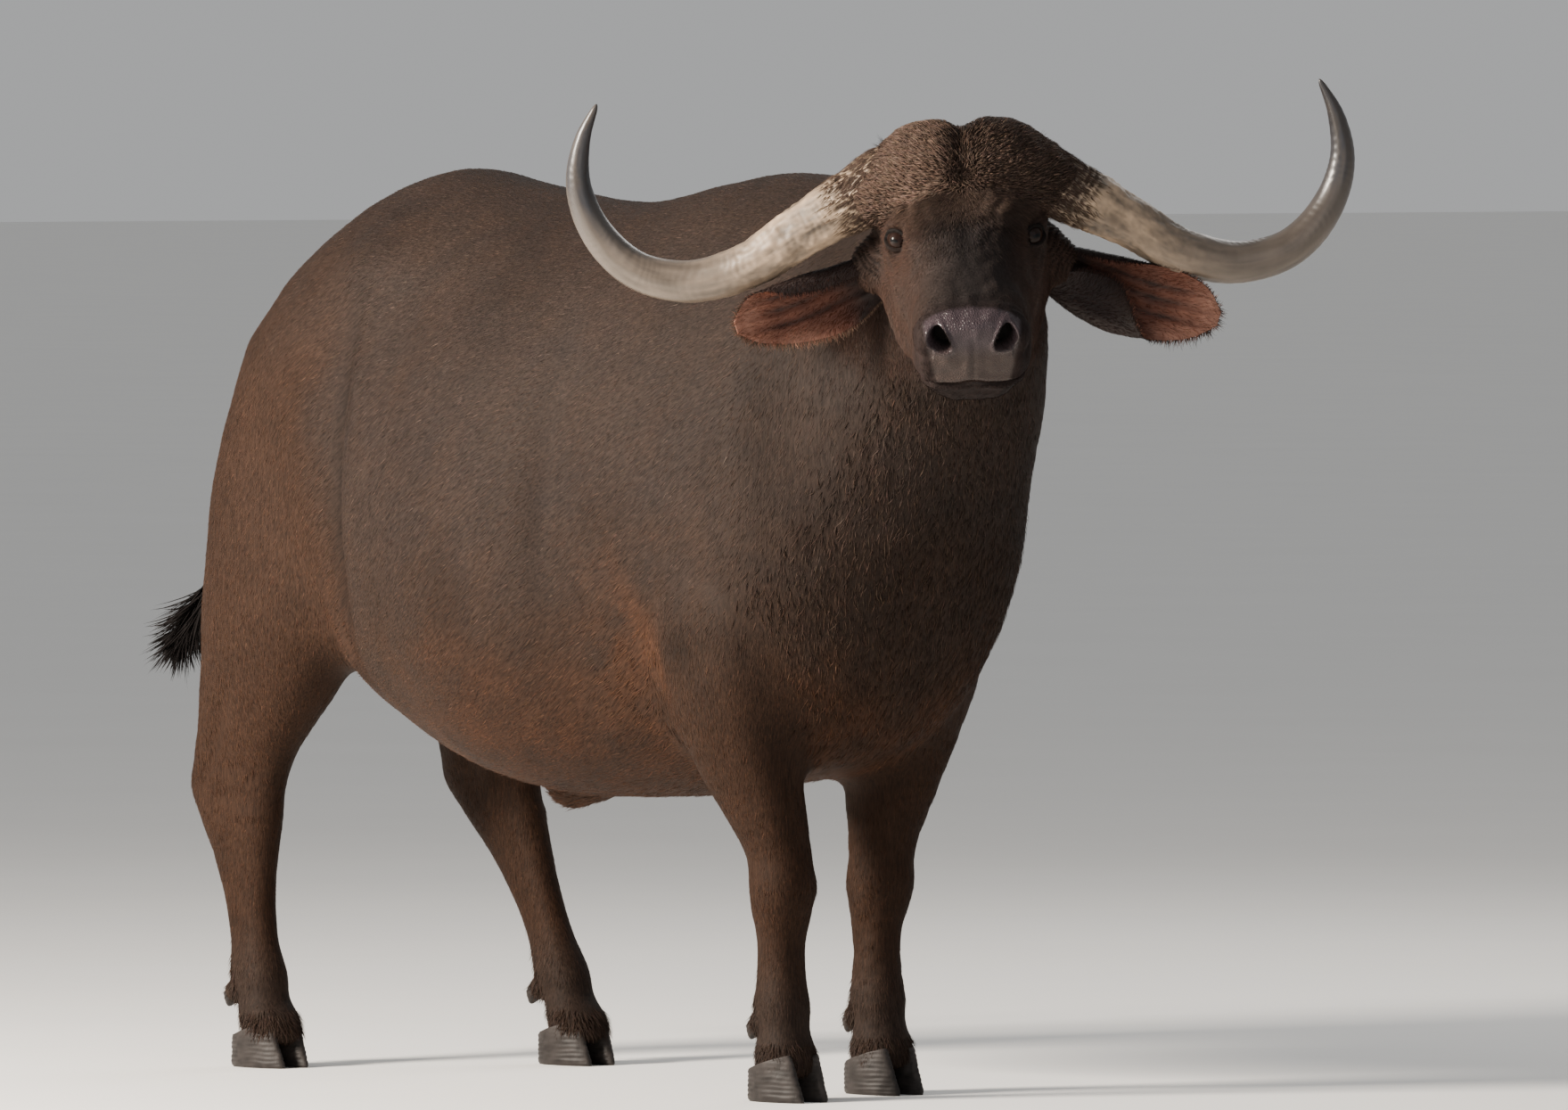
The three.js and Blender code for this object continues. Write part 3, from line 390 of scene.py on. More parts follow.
@dataclass(frozen=True)
class Skull:
    """The head without mounds, horns and ears, in the face frame."""

    # x, top, bottom, height of the broadest point, half widths at brow and at jaw height, rake
    table: tuple = (
        (288, -6, -66, -32, 44, 40, 0.1), (282, 12, -96, -34, 70, 64, 0.1),
        (264, 27, -132, -36, 89, 78, 0.1), (232, 36, -150, -38, 95, 84, 0.1),
        (194, 42, -151, -40, 89, 90, 0.08), (150, 48, -156, -40, 79, 101, 0.04),
        (110, 55, -172, -40, 82, 112, 0), (70, 62, -192, -42, 93, 119, 0),
        (35, 69, -206, -44, 105, 122, 0), (5, 76, -213, -46, 117, 123, 0),
        (-30, 84, -215, -48, 128, 124, 0), (-70, 92, -210, -48, 134, 122, 0),
        (-110, 96, -192, -46, 130, 114, 0), (-150, 92, -162, -40, 114, 98, 0),
        (-182, 76, -116, -30, 90, 76, 0), (-200, 42, -66, -20, 50, 44, 0),
    )
    forms: Relief = Relief((
        (2, 18, 40, 26, 8), (66, -8, 26, 28, -6), (70, -52, 60, 16, 6), (-30, -110, 55, 50, 8),
        (266, -4, 22, 26, 5), (240, -68, 36, 15, 6), (232, -108, 36, 14, 5),
    ))

    def at(self, x: Array) -> Array:
        """Rows at x: top, bottom, height of the broadest point, half widths, rake."""
        table = np.array(self.table, float)[::-1]
        return curve_through(table[:, 0], table[:, 1:], np.clip(x, -200, 288))

    def surface(self, x: Array, angle: Array, grow: float) -> Array:
        """Superellipse sections, 2.4 above and up to 3.4 below at the jaw, with the forms on the cheeks."""
        top, bottom, mid, upper, lower, rake = self.at(x).T
        c, s = np.cos(angle), np.sin(angle)
        square = np.where(s > 0, 2.4, mix(3.4, 2.4, ease((x - 60) / 160)))
        height = power(s, 2 / square) * (np.where(s > 0, top - mid, mid - bottom) + grow)
        width = mix(lower, upper, ease((s + 1) / 2)) + grow
        out = self.forms.out(x, mid + height) * power(c, 0.5)
        y = power(c, 2 / (square + 0.3)) * width + out
        return np.stack([x + rake * height, y, mid + height], 1)

    def angle(self, points: Array) -> Array:
        """The angle of the face frame's points round the skull's axis."""
        return np.arctan2(points[:, 2] - self.at(points[:, 0])[:, 2], points[:, 1])


@dataclass(frozen=True)
class Tube:
    """A tube through rows of (x, y, z, half size upright, half size fore and aft)."""

    rows: tuple

    def length(self) -> float:
        """How long it is along the rows' centres."""
        return float(np.linalg.norm(np.diff(np.array(self.rows, float)[:, :3], axis=0), axis=1).sum())

    def at(self, share: Array) -> Array:
        """Rows at shares of its length."""
        return walk(np.array(self.rows, float), share)

    def axes(self, share: Array) -> tuple[Array, Array, Array]:
        """Along, front and upright at shares: front is X, or Y on a fore and aft tube, squared to along."""
        along = unit(self.at(share + 0.01)[:, :3] - self.at(share - 0.01)[:, :3])
        reach = np.array(self.rows[-1][:3], float) - np.array(self.rows[0][:3], float)
        reference = np.array([0.0, 1, 0] if abs(reach[1]) < abs(reach[0]) else [1.0, 0, 0])
        front = unit(reference - along * (along @ reference)[:, None])
        return along, front, np.cross(along, front)

    def surface(self, share: Array, angle: Array, out: Array | float) -> Array:
        """centre + front (thick + out) cos a + upright (deep + out) sin a."""
        share = np.asarray(share, float)
        rows = self.at(share)
        _, front, upright = self.axes(share)
        across = (rows[:, 4] + out) * np.cos(angle)
        high = (rows[:, 3] + out) * np.sin(angle)
        return rows[:, :3] + front * across[:, None] + upright * high[:, None]

    def place(self, points: Array) -> tuple[Array, Array, Array]:
        """The nearest share, the angle and the distance out as a multiple of the half size.

        Args:
            points: Places of shape (n, 3) in the tube's frame.

        Returns:
            Shares, angles and multiples, each of shape (n,).
        """
        shares = np.linspace(0, 1, 60)
        rows = self.at(shares)
        _, front, upright = self.axes(shares)
        far = ((points[:, None] - rows[None, :, :3]) ** 2).sum(2)
        i = far.argmin(1)
        d = points - rows[i, :3]
        across, high = (d * front[i]).sum(1), (d * upright[i]).sum(1)
        return shares[i], np.arctan2(high, across), np.sqrt(far.min(1)) / rows[i, 3:5].mean(1)


HORN = Tube((
    (-42, 0, 90, 44, 44), (-42, 50, 102, 50, 50), (-46, 104, 90, 50, 48), (-54, 161, 60, 47, 44),
    (-72, 248, 12, 39, 37), (-95, 335, -40, 35, 34), (-113, 423, -58, 32, 31), (-124, 497, -38, 29, 28),
    (-126, 554, 20, 25, 24), (-118, 580, 96, 19, 19), (-107, 571, 164, 12, 12), (-96, 548, 216, 3.5, 3.5),
))
BOSS = Tube((
    (-55, -164, 48, 33, 32), (-53, -155, 52, 46, 45), (-48, -130, 65, 53, 54), (-42, -92, 84, 66, 66),
    (-36, -44, 105, 73, 72), (-38, 0, 90, 58, 64), (-36, 44, 108, 71, 72), (-42, 92, 95, 65, 66),
    (-48, 130, 78, 53, 54), (-53, 155, 65, 46, 45), (-55, 164, 61, 33, 32),
))
TAIL = Tube((
    (-706, 0, 1196, 26, 26), (-772, 0, 1238, 33, 33), (-822, -6, 1200, 29, 29), (-856, -22, 1110, 23, 23),
    (-878, -44, 1005, 19, 19), (-898, -68, 895, 15, 15), (-930, -96, 802, 13, 13), (-954, -112, 758, 11, 11),
    (-970, -120, 736, 9, 9),
))
TUFT = Tube((
    (-952, -111, 764, 12, 12), (-970, -120, 736, 15, 15), (-992, -132, 700, 13, 13),
    (-1012, -143, 664, 8, 8), (-1026, -151, 636, 3, 3),
))
SHEATH = Tube((
    (-10, 0, 476, 14, 14), (-60, 0, 466, 26, 26), (-120, 0, 462, 34, 34), (-160, 0, 456, 34, 34),
    (-190, 0, 462, 26, 26), (-206, 0, 476, 12, 12),
))
SPINE = Spine()
SKULL = Skull()
EYE_PLACE = np.array([14.0, 98.0, 3.0])
EYE_RADIUS = 20.0
GAZE = np.array([0.76, 0.50, 0.42])
SLIT = np.array([0.93, 0.0, 0.37])
# The middle of the forehead's whorl in the level head frame.
WHORL = np.array([20.0, 0.0, 89.0])
HORN_SEEDS = {"right": 71, "left": 11}
# Where the unwrap has room for the hair of horns and ears: the left edge of each side's strip.
STRIPS = {"right": 0.72, "left": 0.86}

# How dark the skin is under its hair (painted shade between the tufts), and how light a tuft is at root and
# tip.
SKIN_SHADE = 0.66
# A tuft is darker towards its root: painted shade among the hairs.
TUFT_SHADE = (0.62, 1.3)
# Half the size of a tuft's patch on the unwrap.
PATCH = 0.0015

# Colours in linear red, green and blue.
HORN_TAN = np.array([0.225, 0.160, 0.105])
HORN_BROWN = np.array([0.100, 0.078, 0.060])
HORN_SLATE = np.array([0.022, 0.021, 0.023])
EYE_IRIS = np.array([0.0085, 0.0034, 0.0022])
EYE_WHITE = np.array([0.020, 0.010, 0.008])
EYE_PUPIL = np.array([0.0015, 0.0015, 0.002])
EAR_DARK = np.array([0.016, 0.010, 0.009])
EAR_RED = np.array([0.125, 0.045, 0.028])
EAR_PINK = np.array([0.210, 0.105, 0.075])
# the pale fringe of the right ear's rim hair, painted light on the ear the light falls on
EAR_LIT_TIPS = np.array([0.110, 0.072, 0.052])
HOOF_DARK = np.array([0.020, 0.017, 0.016])
COAT_GREY = np.array([0.0232, 0.0165, 0.0140])
COAT_BROWN = np.array([0.0245, 0.0142, 0.0098])
COAT_WARM = np.array([0.0270, 0.0135, 0.0080])
COAT_RED = np.array([0.0430, 0.0195, 0.0108])
COAT_LEG = np.array([0.0225, 0.0110, 0.0064])
COAT_FOOT = np.array([0.0195, 0.0135, 0.0110])
COAT_FACE = np.array([0.0300, 0.0215, 0.0185])
COAT_CHEEK = np.array([0.0290, 0.0165, 0.0125])
COAT_BRIDGE = np.array([0.0185, 0.0155, 0.0152])
COAT_MUZZLE = np.array([0.0165, 0.0110, 0.0105])
COAT_BOSS = np.array([0.0500, 0.0330, 0.0255])
COAT_TAIL = np.array([0.005, 0.004, 0.004])
NOSE_WET = np.array([0.037, 0.0262, 0.0300])
NOSE_LOW = np.array([0.034, 0.0220, 0.0185])


# Meshes from arrays.


class Place:
    """Where the animal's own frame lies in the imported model's, as a shift in millimetres."""

    shift: Array = np.zeros(3)

    @classmethod
    def find(cls) -> None:
        """Sets the shift by the left eye, whose middle is named in both frames."""
        low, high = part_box("eye_left")
        middle = (np.array(low) + np.array(high)) / 2 / MM
        cls.shift = middle - FACE.out(EYE_PLACE[None])[0]
        log.info("the animal's frame lies at %s mm", np.round(cls.shift, 2))

    @classmethod
    def metres(cls, points: Array) -> Array:
        """Points of the animal's frame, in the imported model's."""
        return (points + cls.shift) * MM

    @classmethod
    def animal(cls, points: Array) -> Array:
        """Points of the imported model's frame, in the animal's."""
        return points / MM - cls.shift


@dataclass
class Surface:
    """A polygon mesh as arrays: its points, the corners' points and the first corner of each face."""

    points: Array
    corners: Array
    starts: Array

    @classmethod
    def of(cls, points: Array, *faces: Array) -> "Surface":
        """A surface from points and one array of faces for each number of corners."""
        totals = np.concatenate([np.full(len(f), f.shape[1]) for f in faces])
        starts = np.r_[0, np.cumsum(totals)[:-1]]
        return cls(points, np.concatenate([f.ravel() for f in faces]), starts)

    @classmethod
    def read(cls, mesh: bpy.types.Mesh) -> "Surface":
        """A Blender mesh as arrays, in the animal's frame."""
        points = np.empty(len(mesh.vertices) * 3, np.float32)
        mesh.vertices.foreach_get("co", points)
        corners = np.empty(len(mesh.loops), np.int32)
        mesh.loops.foreach_get("vertex_index", corners)
        starts = np.empty(len(mesh.polygons), np.int32)
        mesh.polygons.foreach_get("loop_start", starts)
        return cls(Place.animal(points.reshape(-1, 3).astype(float)), corners, starts)

    @classmethod
    def joined(cls, surfaces: "list[Surface]") -> "Surface":
        """Several surfaces as one."""
        points = np.concatenate([s.points for s in surfaces])
        first = np.cumsum([0] + [len(s.points) for s in surfaces])
        corner = np.cumsum([0] + [len(s.corners) for s in surfaces])
        corners = np.concatenate([s.corners + first[i] for i, s in enumerate(surfaces)])
        starts = np.concatenate([s.starts + corner[i] for i, s in enumerate(surfaces)])
        return cls(points, corners, starts)

    def totals(self) -> Array:
        """How many corners each face has."""
        return np.diff(np.r_[self.starts, len(self.corners)])

    def following(self) -> Array:
        """For each corner, the next corner of its face."""
        after = np.arange(1, len(self.corners) + 1)
        after[self.starts + self.totals() - 1] = self.starts
        return after

    def centres(self) -> Array:
        """The mean of each face's points."""
        return np.add.reduceat(self.points[self.corners], self.starts, axis=0) / self.totals()[:, None]

    def edges(self) -> tuple[Array, Array]:
        """The unlike edges as pairs of points, and the edge of each corner."""
        a, b = self.corners, self.corners[self.following()]
        key = np.minimum(a, b).astype(np.int64) * len(self.points) + np.maximum(a, b)
        kept, edge = np.unique(key, return_inverse=True)
        return np.stack([kept // len(self.points), kept % len(self.points)], 1), edge

    def normals(self) -> Array:
        """Point normals: the sum of the faces' area vectors, each a sum of cross products of its corners."""
        ends = np.r_[self.corners, self.corners[self.following()]]
        centre = np.repeat(self.centres(), self.totals(), axis=0)
        a, b = self.points[ends].reshape(2, -1, 3) - centre
        area = np.tile(np.cross(a, b), (2, 1))
        return unit(np.stack([np.bincount(ends, area[:, k], len(self.points)) for k in range(3)], 1))

    def moved(self, points: Array) -> "Surface":
        """The same faces on other points."""
        return Surface(points, self.corners, self.starts)

    def outward(self) -> "Surface":
        """A closed surface with its faces turned round if they enclose a negative volume."""
        after = self.following()
        centre = np.repeat(self.centres(), self.totals(), axis=0)
        volume = (centre * np.cross(self.points[self.corners], self.points[self.corners[after]])).sum()
        if volume >= 0:
            return self
        start = np.repeat(self.starts, self.totals())
        within = np.arange(len(self.corners)) - start
        turned = start + np.repeat(self.totals(), self.totals()) - 1 - within
        return Surface(self.points, self.corners[turned], self.starts)

    def divided(self, chosen: Array) -> "Surface":
        """The chosen faces split in four at their middles, and their neighbours' edges split to match.

        Args:
            chosen: One bool a face.

        Returns:
            The finer surface.
        """
        edges, edge = self.edges()
        totals = self.totals()
        corner_chosen = np.repeat(chosen, totals)
        split = np.zeros(len(edges), bool)
        split[edge[corner_chosen]] = True
        middle = len(self.points) + np.cumsum(split) - 1
        centre = len(self.points) + split.sum() + np.cumsum(chosen) - 1
        points = np.concatenate([self.points, self.points[edges[split]].mean(1), self.centres()[chosen]])
        before = np.empty(len(self.corners), int)
        before[self.following()] = np.arange(len(self.corners))
        mine = np.nonzero(corner_chosen)[0]
        face = np.repeat(np.arange(len(totals)), totals)
        quads = np.stack([
            self.corners[mine], middle[edge[mine]], centre[face[mine]], middle[edge[before[mine]]]
        ], 1)
        rest = np.nonzero(~corner_chosen)[0]
        pairs = np.stack([self.corners[rest], middle[edge[rest]]], 1).ravel()
        keep = np.stack([np.ones(len(rest), bool), split[edge[rest]]], 1).ravel()
        counts = np.add.reduceat(1 + (split[edge] & ~corner_chosen), self.starts)[~chosen]
        starts = np.r_[0, np.cumsum(counts)[:-1]] if len(counts) else np.zeros(0, int)
        total = int(counts.sum())
        corners = np.concatenate([pairs[keep], quads.ravel()])
        return Surface(points, corners, np.concatenate([starts, total + 4 * np.arange(len(quads))]))

    def smoothed(self, weight: Array, rounds: int) -> "Surface":
        """Each round moves a point by weight / 2 of the way to the mean of its neighbours."""
        edges, _ = self.edges()
        weight = np.where(weight > 1e-3, weight, 0.0)
        a, b = edges[(weight[edges] > 0).any(1)].T
        n = len(self.points)
        count = np.maximum(np.bincount(np.r_[a, b], minlength=n), 1)
        points = self.points.copy()
        ends, others = np.r_[a, b], np.r_[b, a]
        for _ in range(rounds):
            mean = np.stack([np.bincount(ends, points[others, k], n) / count for k in range(3)], 1)
            points += (weight * 0.5)[:, None] * (mean - points)
        return self.moved(points)

    def mesh(self, name: str, smooth: bool = True) -> bpy.types.Mesh:
        """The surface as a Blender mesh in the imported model's frame."""
        mesh = bpy.data.meshes.new(name)
        mesh.vertices.add(len(self.points))
        mesh.vertices.foreach_set("co", Place.metres(self.points).astype(np.float32).ravel())
        mesh.loops.add(len(self.corners))
        mesh.loops.foreach_set("vertex_index", self.corners.astype(np.int32))
        mesh.polygons.add(len(self.starts))
        mesh.polygons.foreach_set("loop_start", self.starts.astype(np.int32))
        mesh.polygons.foreach_set("loop_total", self.totals().astype(np.int32))
        mesh.polygons.foreach_set("use_smooth", np.full(len(self.starts), smooth))
        mesh.update(calc_edges=True)
        return mesh


def loft(points: Array) -> Surface:
    """A closed skin over rings of points, with a fan of triangles at each end.

    Args:
        points: Rings of shape (rows, sides, 3), anticlockwise seen from the end that the rows run to.

    Returns:
        The surface, facing out.
    """
    rows, sides, _ = points.shape
    j = np.arange(sides)
    k = (j + 1) % sides
    i = np.arange(rows - 1)[:, None] * sides
    quads = np.stack([i + j, i + k, i + sides + k, i + sides + j], -1).reshape(-1, 4)
    foot, head = rows * sides, rows * sides + 1
    top = (rows - 1) * sides
    low = np.stack([np.full(sides, foot), k, j], 1)
    high = np.stack([np.full(sides, head), top + j, top + k], 1)
    ends = np.stack([points[0].mean(0), points[-1].mean(0)])
    return Surface.of(np.concatenate([points.reshape(-1, 3), ends]), quads, np.concatenate([low, high]))


def grid(along: Array, sides: int) -> tuple[Array, Array]:
    """Every pair of a place along and an angle round, as two flat arrays."""
    angle = np.linspace(0, 2 * np.pi, sides, endpoint=False)
    a, b = np.meshgrid(along, angle, indexing="ij")
    return a.ravel(), b.ravel()


def rings(surface: Callable[[Array, Array], Array], along: Array, sides: int) -> Array:
    """A surface of (along, angle) read on a grid, as rings of shape (rows, sides, 3)."""
    return surface(*grid(along, sides)).reshape(len(along), sides, 3)


def ball(centre: Array, radius: float, count: int = 32) -> Surface:
    """A sphere as rings from pole to pole along Z."""
    high = np.linspace(-np.pi / 2, np.pi / 2, count + 1)[1:-1]

    def at(u: Array, v: Array) -> Array:
        """centre + radius (cos u cos v, cos u sin v, sin u)."""
        return centre + radius * np.stack([np.cos(u) * np.cos(v), np.cos(u) * np.sin(v), np.sin(u)], 1)

    return loft(rings(at, high, count * 2))


def placed(name: str, data: bpy.types.ID) -> bpy.types.Object:
    """A new object in the scene."""
    made = bpy.data.objects.new(name, data)
    bpy.context.scene.collection.objects.link(made)
    return made


def finished(piece: bpy.types.Object) -> bpy.types.Mesh:
    """An object's mesh with its modifiers applied."""
    return piece.evaluated_get(bpy.context.evaluated_depsgraph_get()).to_mesh()


def remeshed(surface: Surface, voxel: float) -> Surface:
    """One closed outer skin of overlapping closed forms, by Blender's voxel remesh.

    Args:
        surface: The overlapping forms.
        voxel: The size of its cells, in metres.

    Returns:
        The skin.
    """
    piece = placed("remeshed", surface.mesh("remeshed"))
    cells = piece.modifiers.new("cells", "REMESH")
    cells.mode = "VOXEL"
    cells.voxel_size = voxel
    found = Surface.read(finished(piece))
    bpy.data.objects.remove(piece)
    return found


def drawn_onto(surface: Surface, target: Surface, weight: Array) -> Surface:
    """Points moved by their weight towards the nearest place on another surface.

    Args:
        surface: What is moved.
        target: What it is drawn to.
        weight: From 0 to 1, one a point.

    Returns:
        The moved surface.
    """
    goal = placed("goal", target.mesh("goal"))
    piece = placed("drawn", surface.mesh("drawn"))
    wrap = piece.modifiers.new("wrap", "SHRINKWRAP")
    wrap.target = goal
    wrap.wrap_method = "NEAREST_SURFACEPOINT"
    moved = Surface.read(finished(piece)).points
    for made in (goal, piece):
        bpy.data.objects.remove(made)
    return surface.moved(blend(surface.points, moved, weight))


def put_values(mesh: bpy.types.Mesh, name: str, values: Array) -> None:
    """Stores one number, or one colour of three numbers, for each point of a mesh."""
    if values.ndim == 1:
        layer = mesh.attributes.new(name, "FLOAT", "POINT")
        layer.data.foreach_set("value", values.astype(np.float32))
    else:
        layer = mesh.attributes.new(name, "FLOAT_COLOR", "POINT")
        full = np.concatenate([values, np.ones((len(values), 1))], 1)
        layer.data.foreach_set("color", full.astype(np.float32).ravel())


def add_piece(
    mesh: bpy.types.Mesh, material: bpy.types.Material, nodes: tuple[str, ...] = ()
) -> bpy.types.Object:
    """Shows a mesh as a piece that rides on the animal and stands for the given nodes.

    Args:
        mesh: The finished mesh, whose name the piece takes.
        material: Its finish.
        nodes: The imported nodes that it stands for.

    Returns:
        The piece.
    """
    piece = placed(mesh.name, mesh)
    mesh.materials.append(material)
    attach(piece, "root")
    if nodes:
        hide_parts(*nodes)
    log.info("%s: %d faces", piece.name, len(mesh.polygons))
    return piece


# The skin.


@dataclass
class Skin:
    """The animal's skin as one mesh: body, legs, head, mounds, tail and sheath."""

    depth_body: float = 5.0
    depth_leg: float = 3.5
    depth_face: float = 2.5
    depth_boss: float = 6.5
    depth_tail: float = 2.0
    depth_sheath: float = 3.0
    lids_over: float = 4.5
    dew_root: tuple[float, float, float] = (9.0, 0.0, 7.0)
    dew_radius: float = 17.5
    coarse: float = 0.0152
    fine: float = 0.0035
    ear_roots: tuple = (
        ((-96.0, 108.0, -54.0), 36.0), ((-99.0, 130.0, -60.0), 27.0), ((-102.0, 148.0, -66.0), 19.0),
        ((-88.0, 116.0, -24.0), 39.0), ((-96.0, 144.0, -36.0), 29.0),
    )
    surface: Surface = field(init=False)

    def forms(self) -> Surface:
        """The overlapping closed forms under the coat."""

        def form(surface: Callable, depth: float, low: float, high: float, count: int, sides: int) -> Array:
            """Rings of a form sunk by the coat's depth."""
            return rings(lambda u, v: surface(u, v, -depth), np.linspace(low, high, count), sides)

        nets = [form(SPINE.surface, self.depth_body, 0, 1, 260, 120)]
        nets += [form(leg.surface, self.depth_leg, 40, leg.table[-1][0], 200, 56) for leg in LEGS]
        nets.append(FACE.out(form(SKULL.surface, self.depth_face, -198, 287, 150, 120)))
        nets.append(LEVEL.out(form(BOSS.surface, self.depth_boss, 0, 1, 120, 64)))
        nets.append(form(TAIL.surface, self.depth_tail, 0, 1, 140, 32))
        nets.append(form(SHEATH.surface, self.depth_sheath, 0, 1, 60, 40))
        made = [loft(net) for net in nets]
        for side in SIDES.values():
            made.append(ball(FACE.out(EYE_PLACE * [1, side, 1]), EYE_RADIUS + self.lids_over))
            for place, radius in self.ear_roots:
                made.append(ball(LEVEL.out(np.array(place) * [1, side, 1]), radius))
            made += [ball(Hooves.dew_place(leg, side) + self.dew_root, self.dew_radius, 20) for leg in LEGS]
        return Surface.joined(made)

    def joins(self, points: Array) -> Array:
        """How much the skin is smoothed where the mounds and the ears' roots meet the skull, from 0 to 1."""
        face, level = FACE.within(points), LEVEL.within(points)
        weight = np.zeros(len(points))
        x, y, z = face.T
        near = np.nonzero((x > -130) & (x < 90) & (z > 10) & (np.abs(y) < 190))[0]
        on = SKULL.surface(face[near, 0], SKULL.angle(face[near]), -self.depth_face)
        skull = bell(np.linalg.norm(face[near] - on, axis=1), 15)
        weight[near] = np.clip(1.7 * skull * bell(BOSS.place(level[near])[2] - 1, 0.4), 0, 1)
        root = bell(np.linalg.norm(on_left(level) - [-97, 132, -58], axis=1), 42)
        return np.maximum(weight, np.clip(1.5 * root, 0, 1))

    def seams(self, points: Array) -> Array:
        """How close points lie to both a leg's form and the trunk's, from 0 to 1."""
        share, angle = SPINE.place(points)
        on = SPINE.surface(share, angle, -self.depth_body)
        near = bell(np.linalg.norm(points - on, axis=1), 60)
        both = np.zeros(len(points))
        for leg in LEGS:
            rows = leg.at(np.clip(points[:, 2], leg.table[0][0], leg.table[-1][0]))
            off = np.abs(leg.reach(points) - 1) * rows[:, 2:4].mean(1)
            level = ease((points[:, 2] - 430) / 130) * ease((leg.table[-1][0] + 90 - points[:, 2]) / 60)
            both = np.maximum(both, bell(off, 60) * level)
        return near * both

    def build(self) -> None:
        """Joins the forms, smooths their seams, refines the head and the lower legs, and shapes the face."""
        forms = self.forms()
        coarse = remeshed(forms, self.coarse)
        fine = remeshed(forms, self.fine)
        fine = fine.smoothed(np.ones(len(fine.points)), 4)
        fine = fine.smoothed(self.joins(fine.points), 60)
        coarse = coarse.smoothed(np.clip(self.seams(coarse.points) * 1.4, 0, 1), 30)
        coarse = coarse.smoothed(np.full(len(coarse.points), 0.6), 2)
        log.info("coarse %d, fine %d faces", len(coarse.starts), len(fine.starts))
        for size in (1, 2, 3, 4):
            middle = coarse.centres()
            face = FACE.within(middle)
            x, y, z = face.T
            ahead = (np.abs(y) < 190) & (z > -260) & (z < 200) & (x > -210)
            if size == 1:
                chosen = ahead | (middle[:, 2] < 330) | (middle[:, 0] < -840)
            elif size == 2:
                chosen = ahead & (x > -10) & (z > -150) & (z < 70) | self.temples(face)
            else:
                chosen = self.features(face) if size == 3 else self.lids(face)
            coarse = coarse.divided(chosen)
        x, y, z = FACE.within(coarse.points).T
        weight = ease((x + 215) / 60) * (np.abs(y) < 200) * ease((z + 280) / 60)
        weight = np.maximum(weight, ease((520 - coarse.points[:, 2]) / 120))
        weight = np.maximum(weight, ease((-830 - coarse.points[:, 0]) / 30))
        coarse = drawn_onto(coarse, fine, weight)
        coarse = coarse.smoothed(np.full(len(coarse.points), 0.5), 1)
        self.surface = FaceForms().shape(BodyForms().shape(coarse))

    @staticmethod
    def features(face: Array) -> Array:
        """Which of the face frame's places lie at the eyes, the nose or the mouth."""
        x, y, z = on_left(face).T
        eyes = np.linalg.norm(on_left(face) - (EYE_PLACE + [6, 6, 3]), axis=1) < 40
        nose = (x > 244) & (z > -48) & (y > 24)
        mouth = (x > 165) & (np.abs(z + 88) < 13)
        return eyes | nose | mouth | Skin.temples(face)

    @staticmethod
    def temples(face: Array) -> Array:
        """Which of the face frame's places lie in the folds between an eye and its ear."""
        x, y, z = face.T
        return (x > -112) & (x < -12) & (z > -112) & (z < 36) & (np.abs(y) > 108)

    @staticmethod
    def lids(face: Array) -> Array:
        """Which of the face frame's places lie round the eyes' openings."""
        gaze, long, up = eye_axes(1)
        d = on_left(face) - EYE_PLACE
        ahead = d @ gaze > 6
        return ahead & (np.abs(d @ long) < 25) & (np.abs(d @ up) < 17)


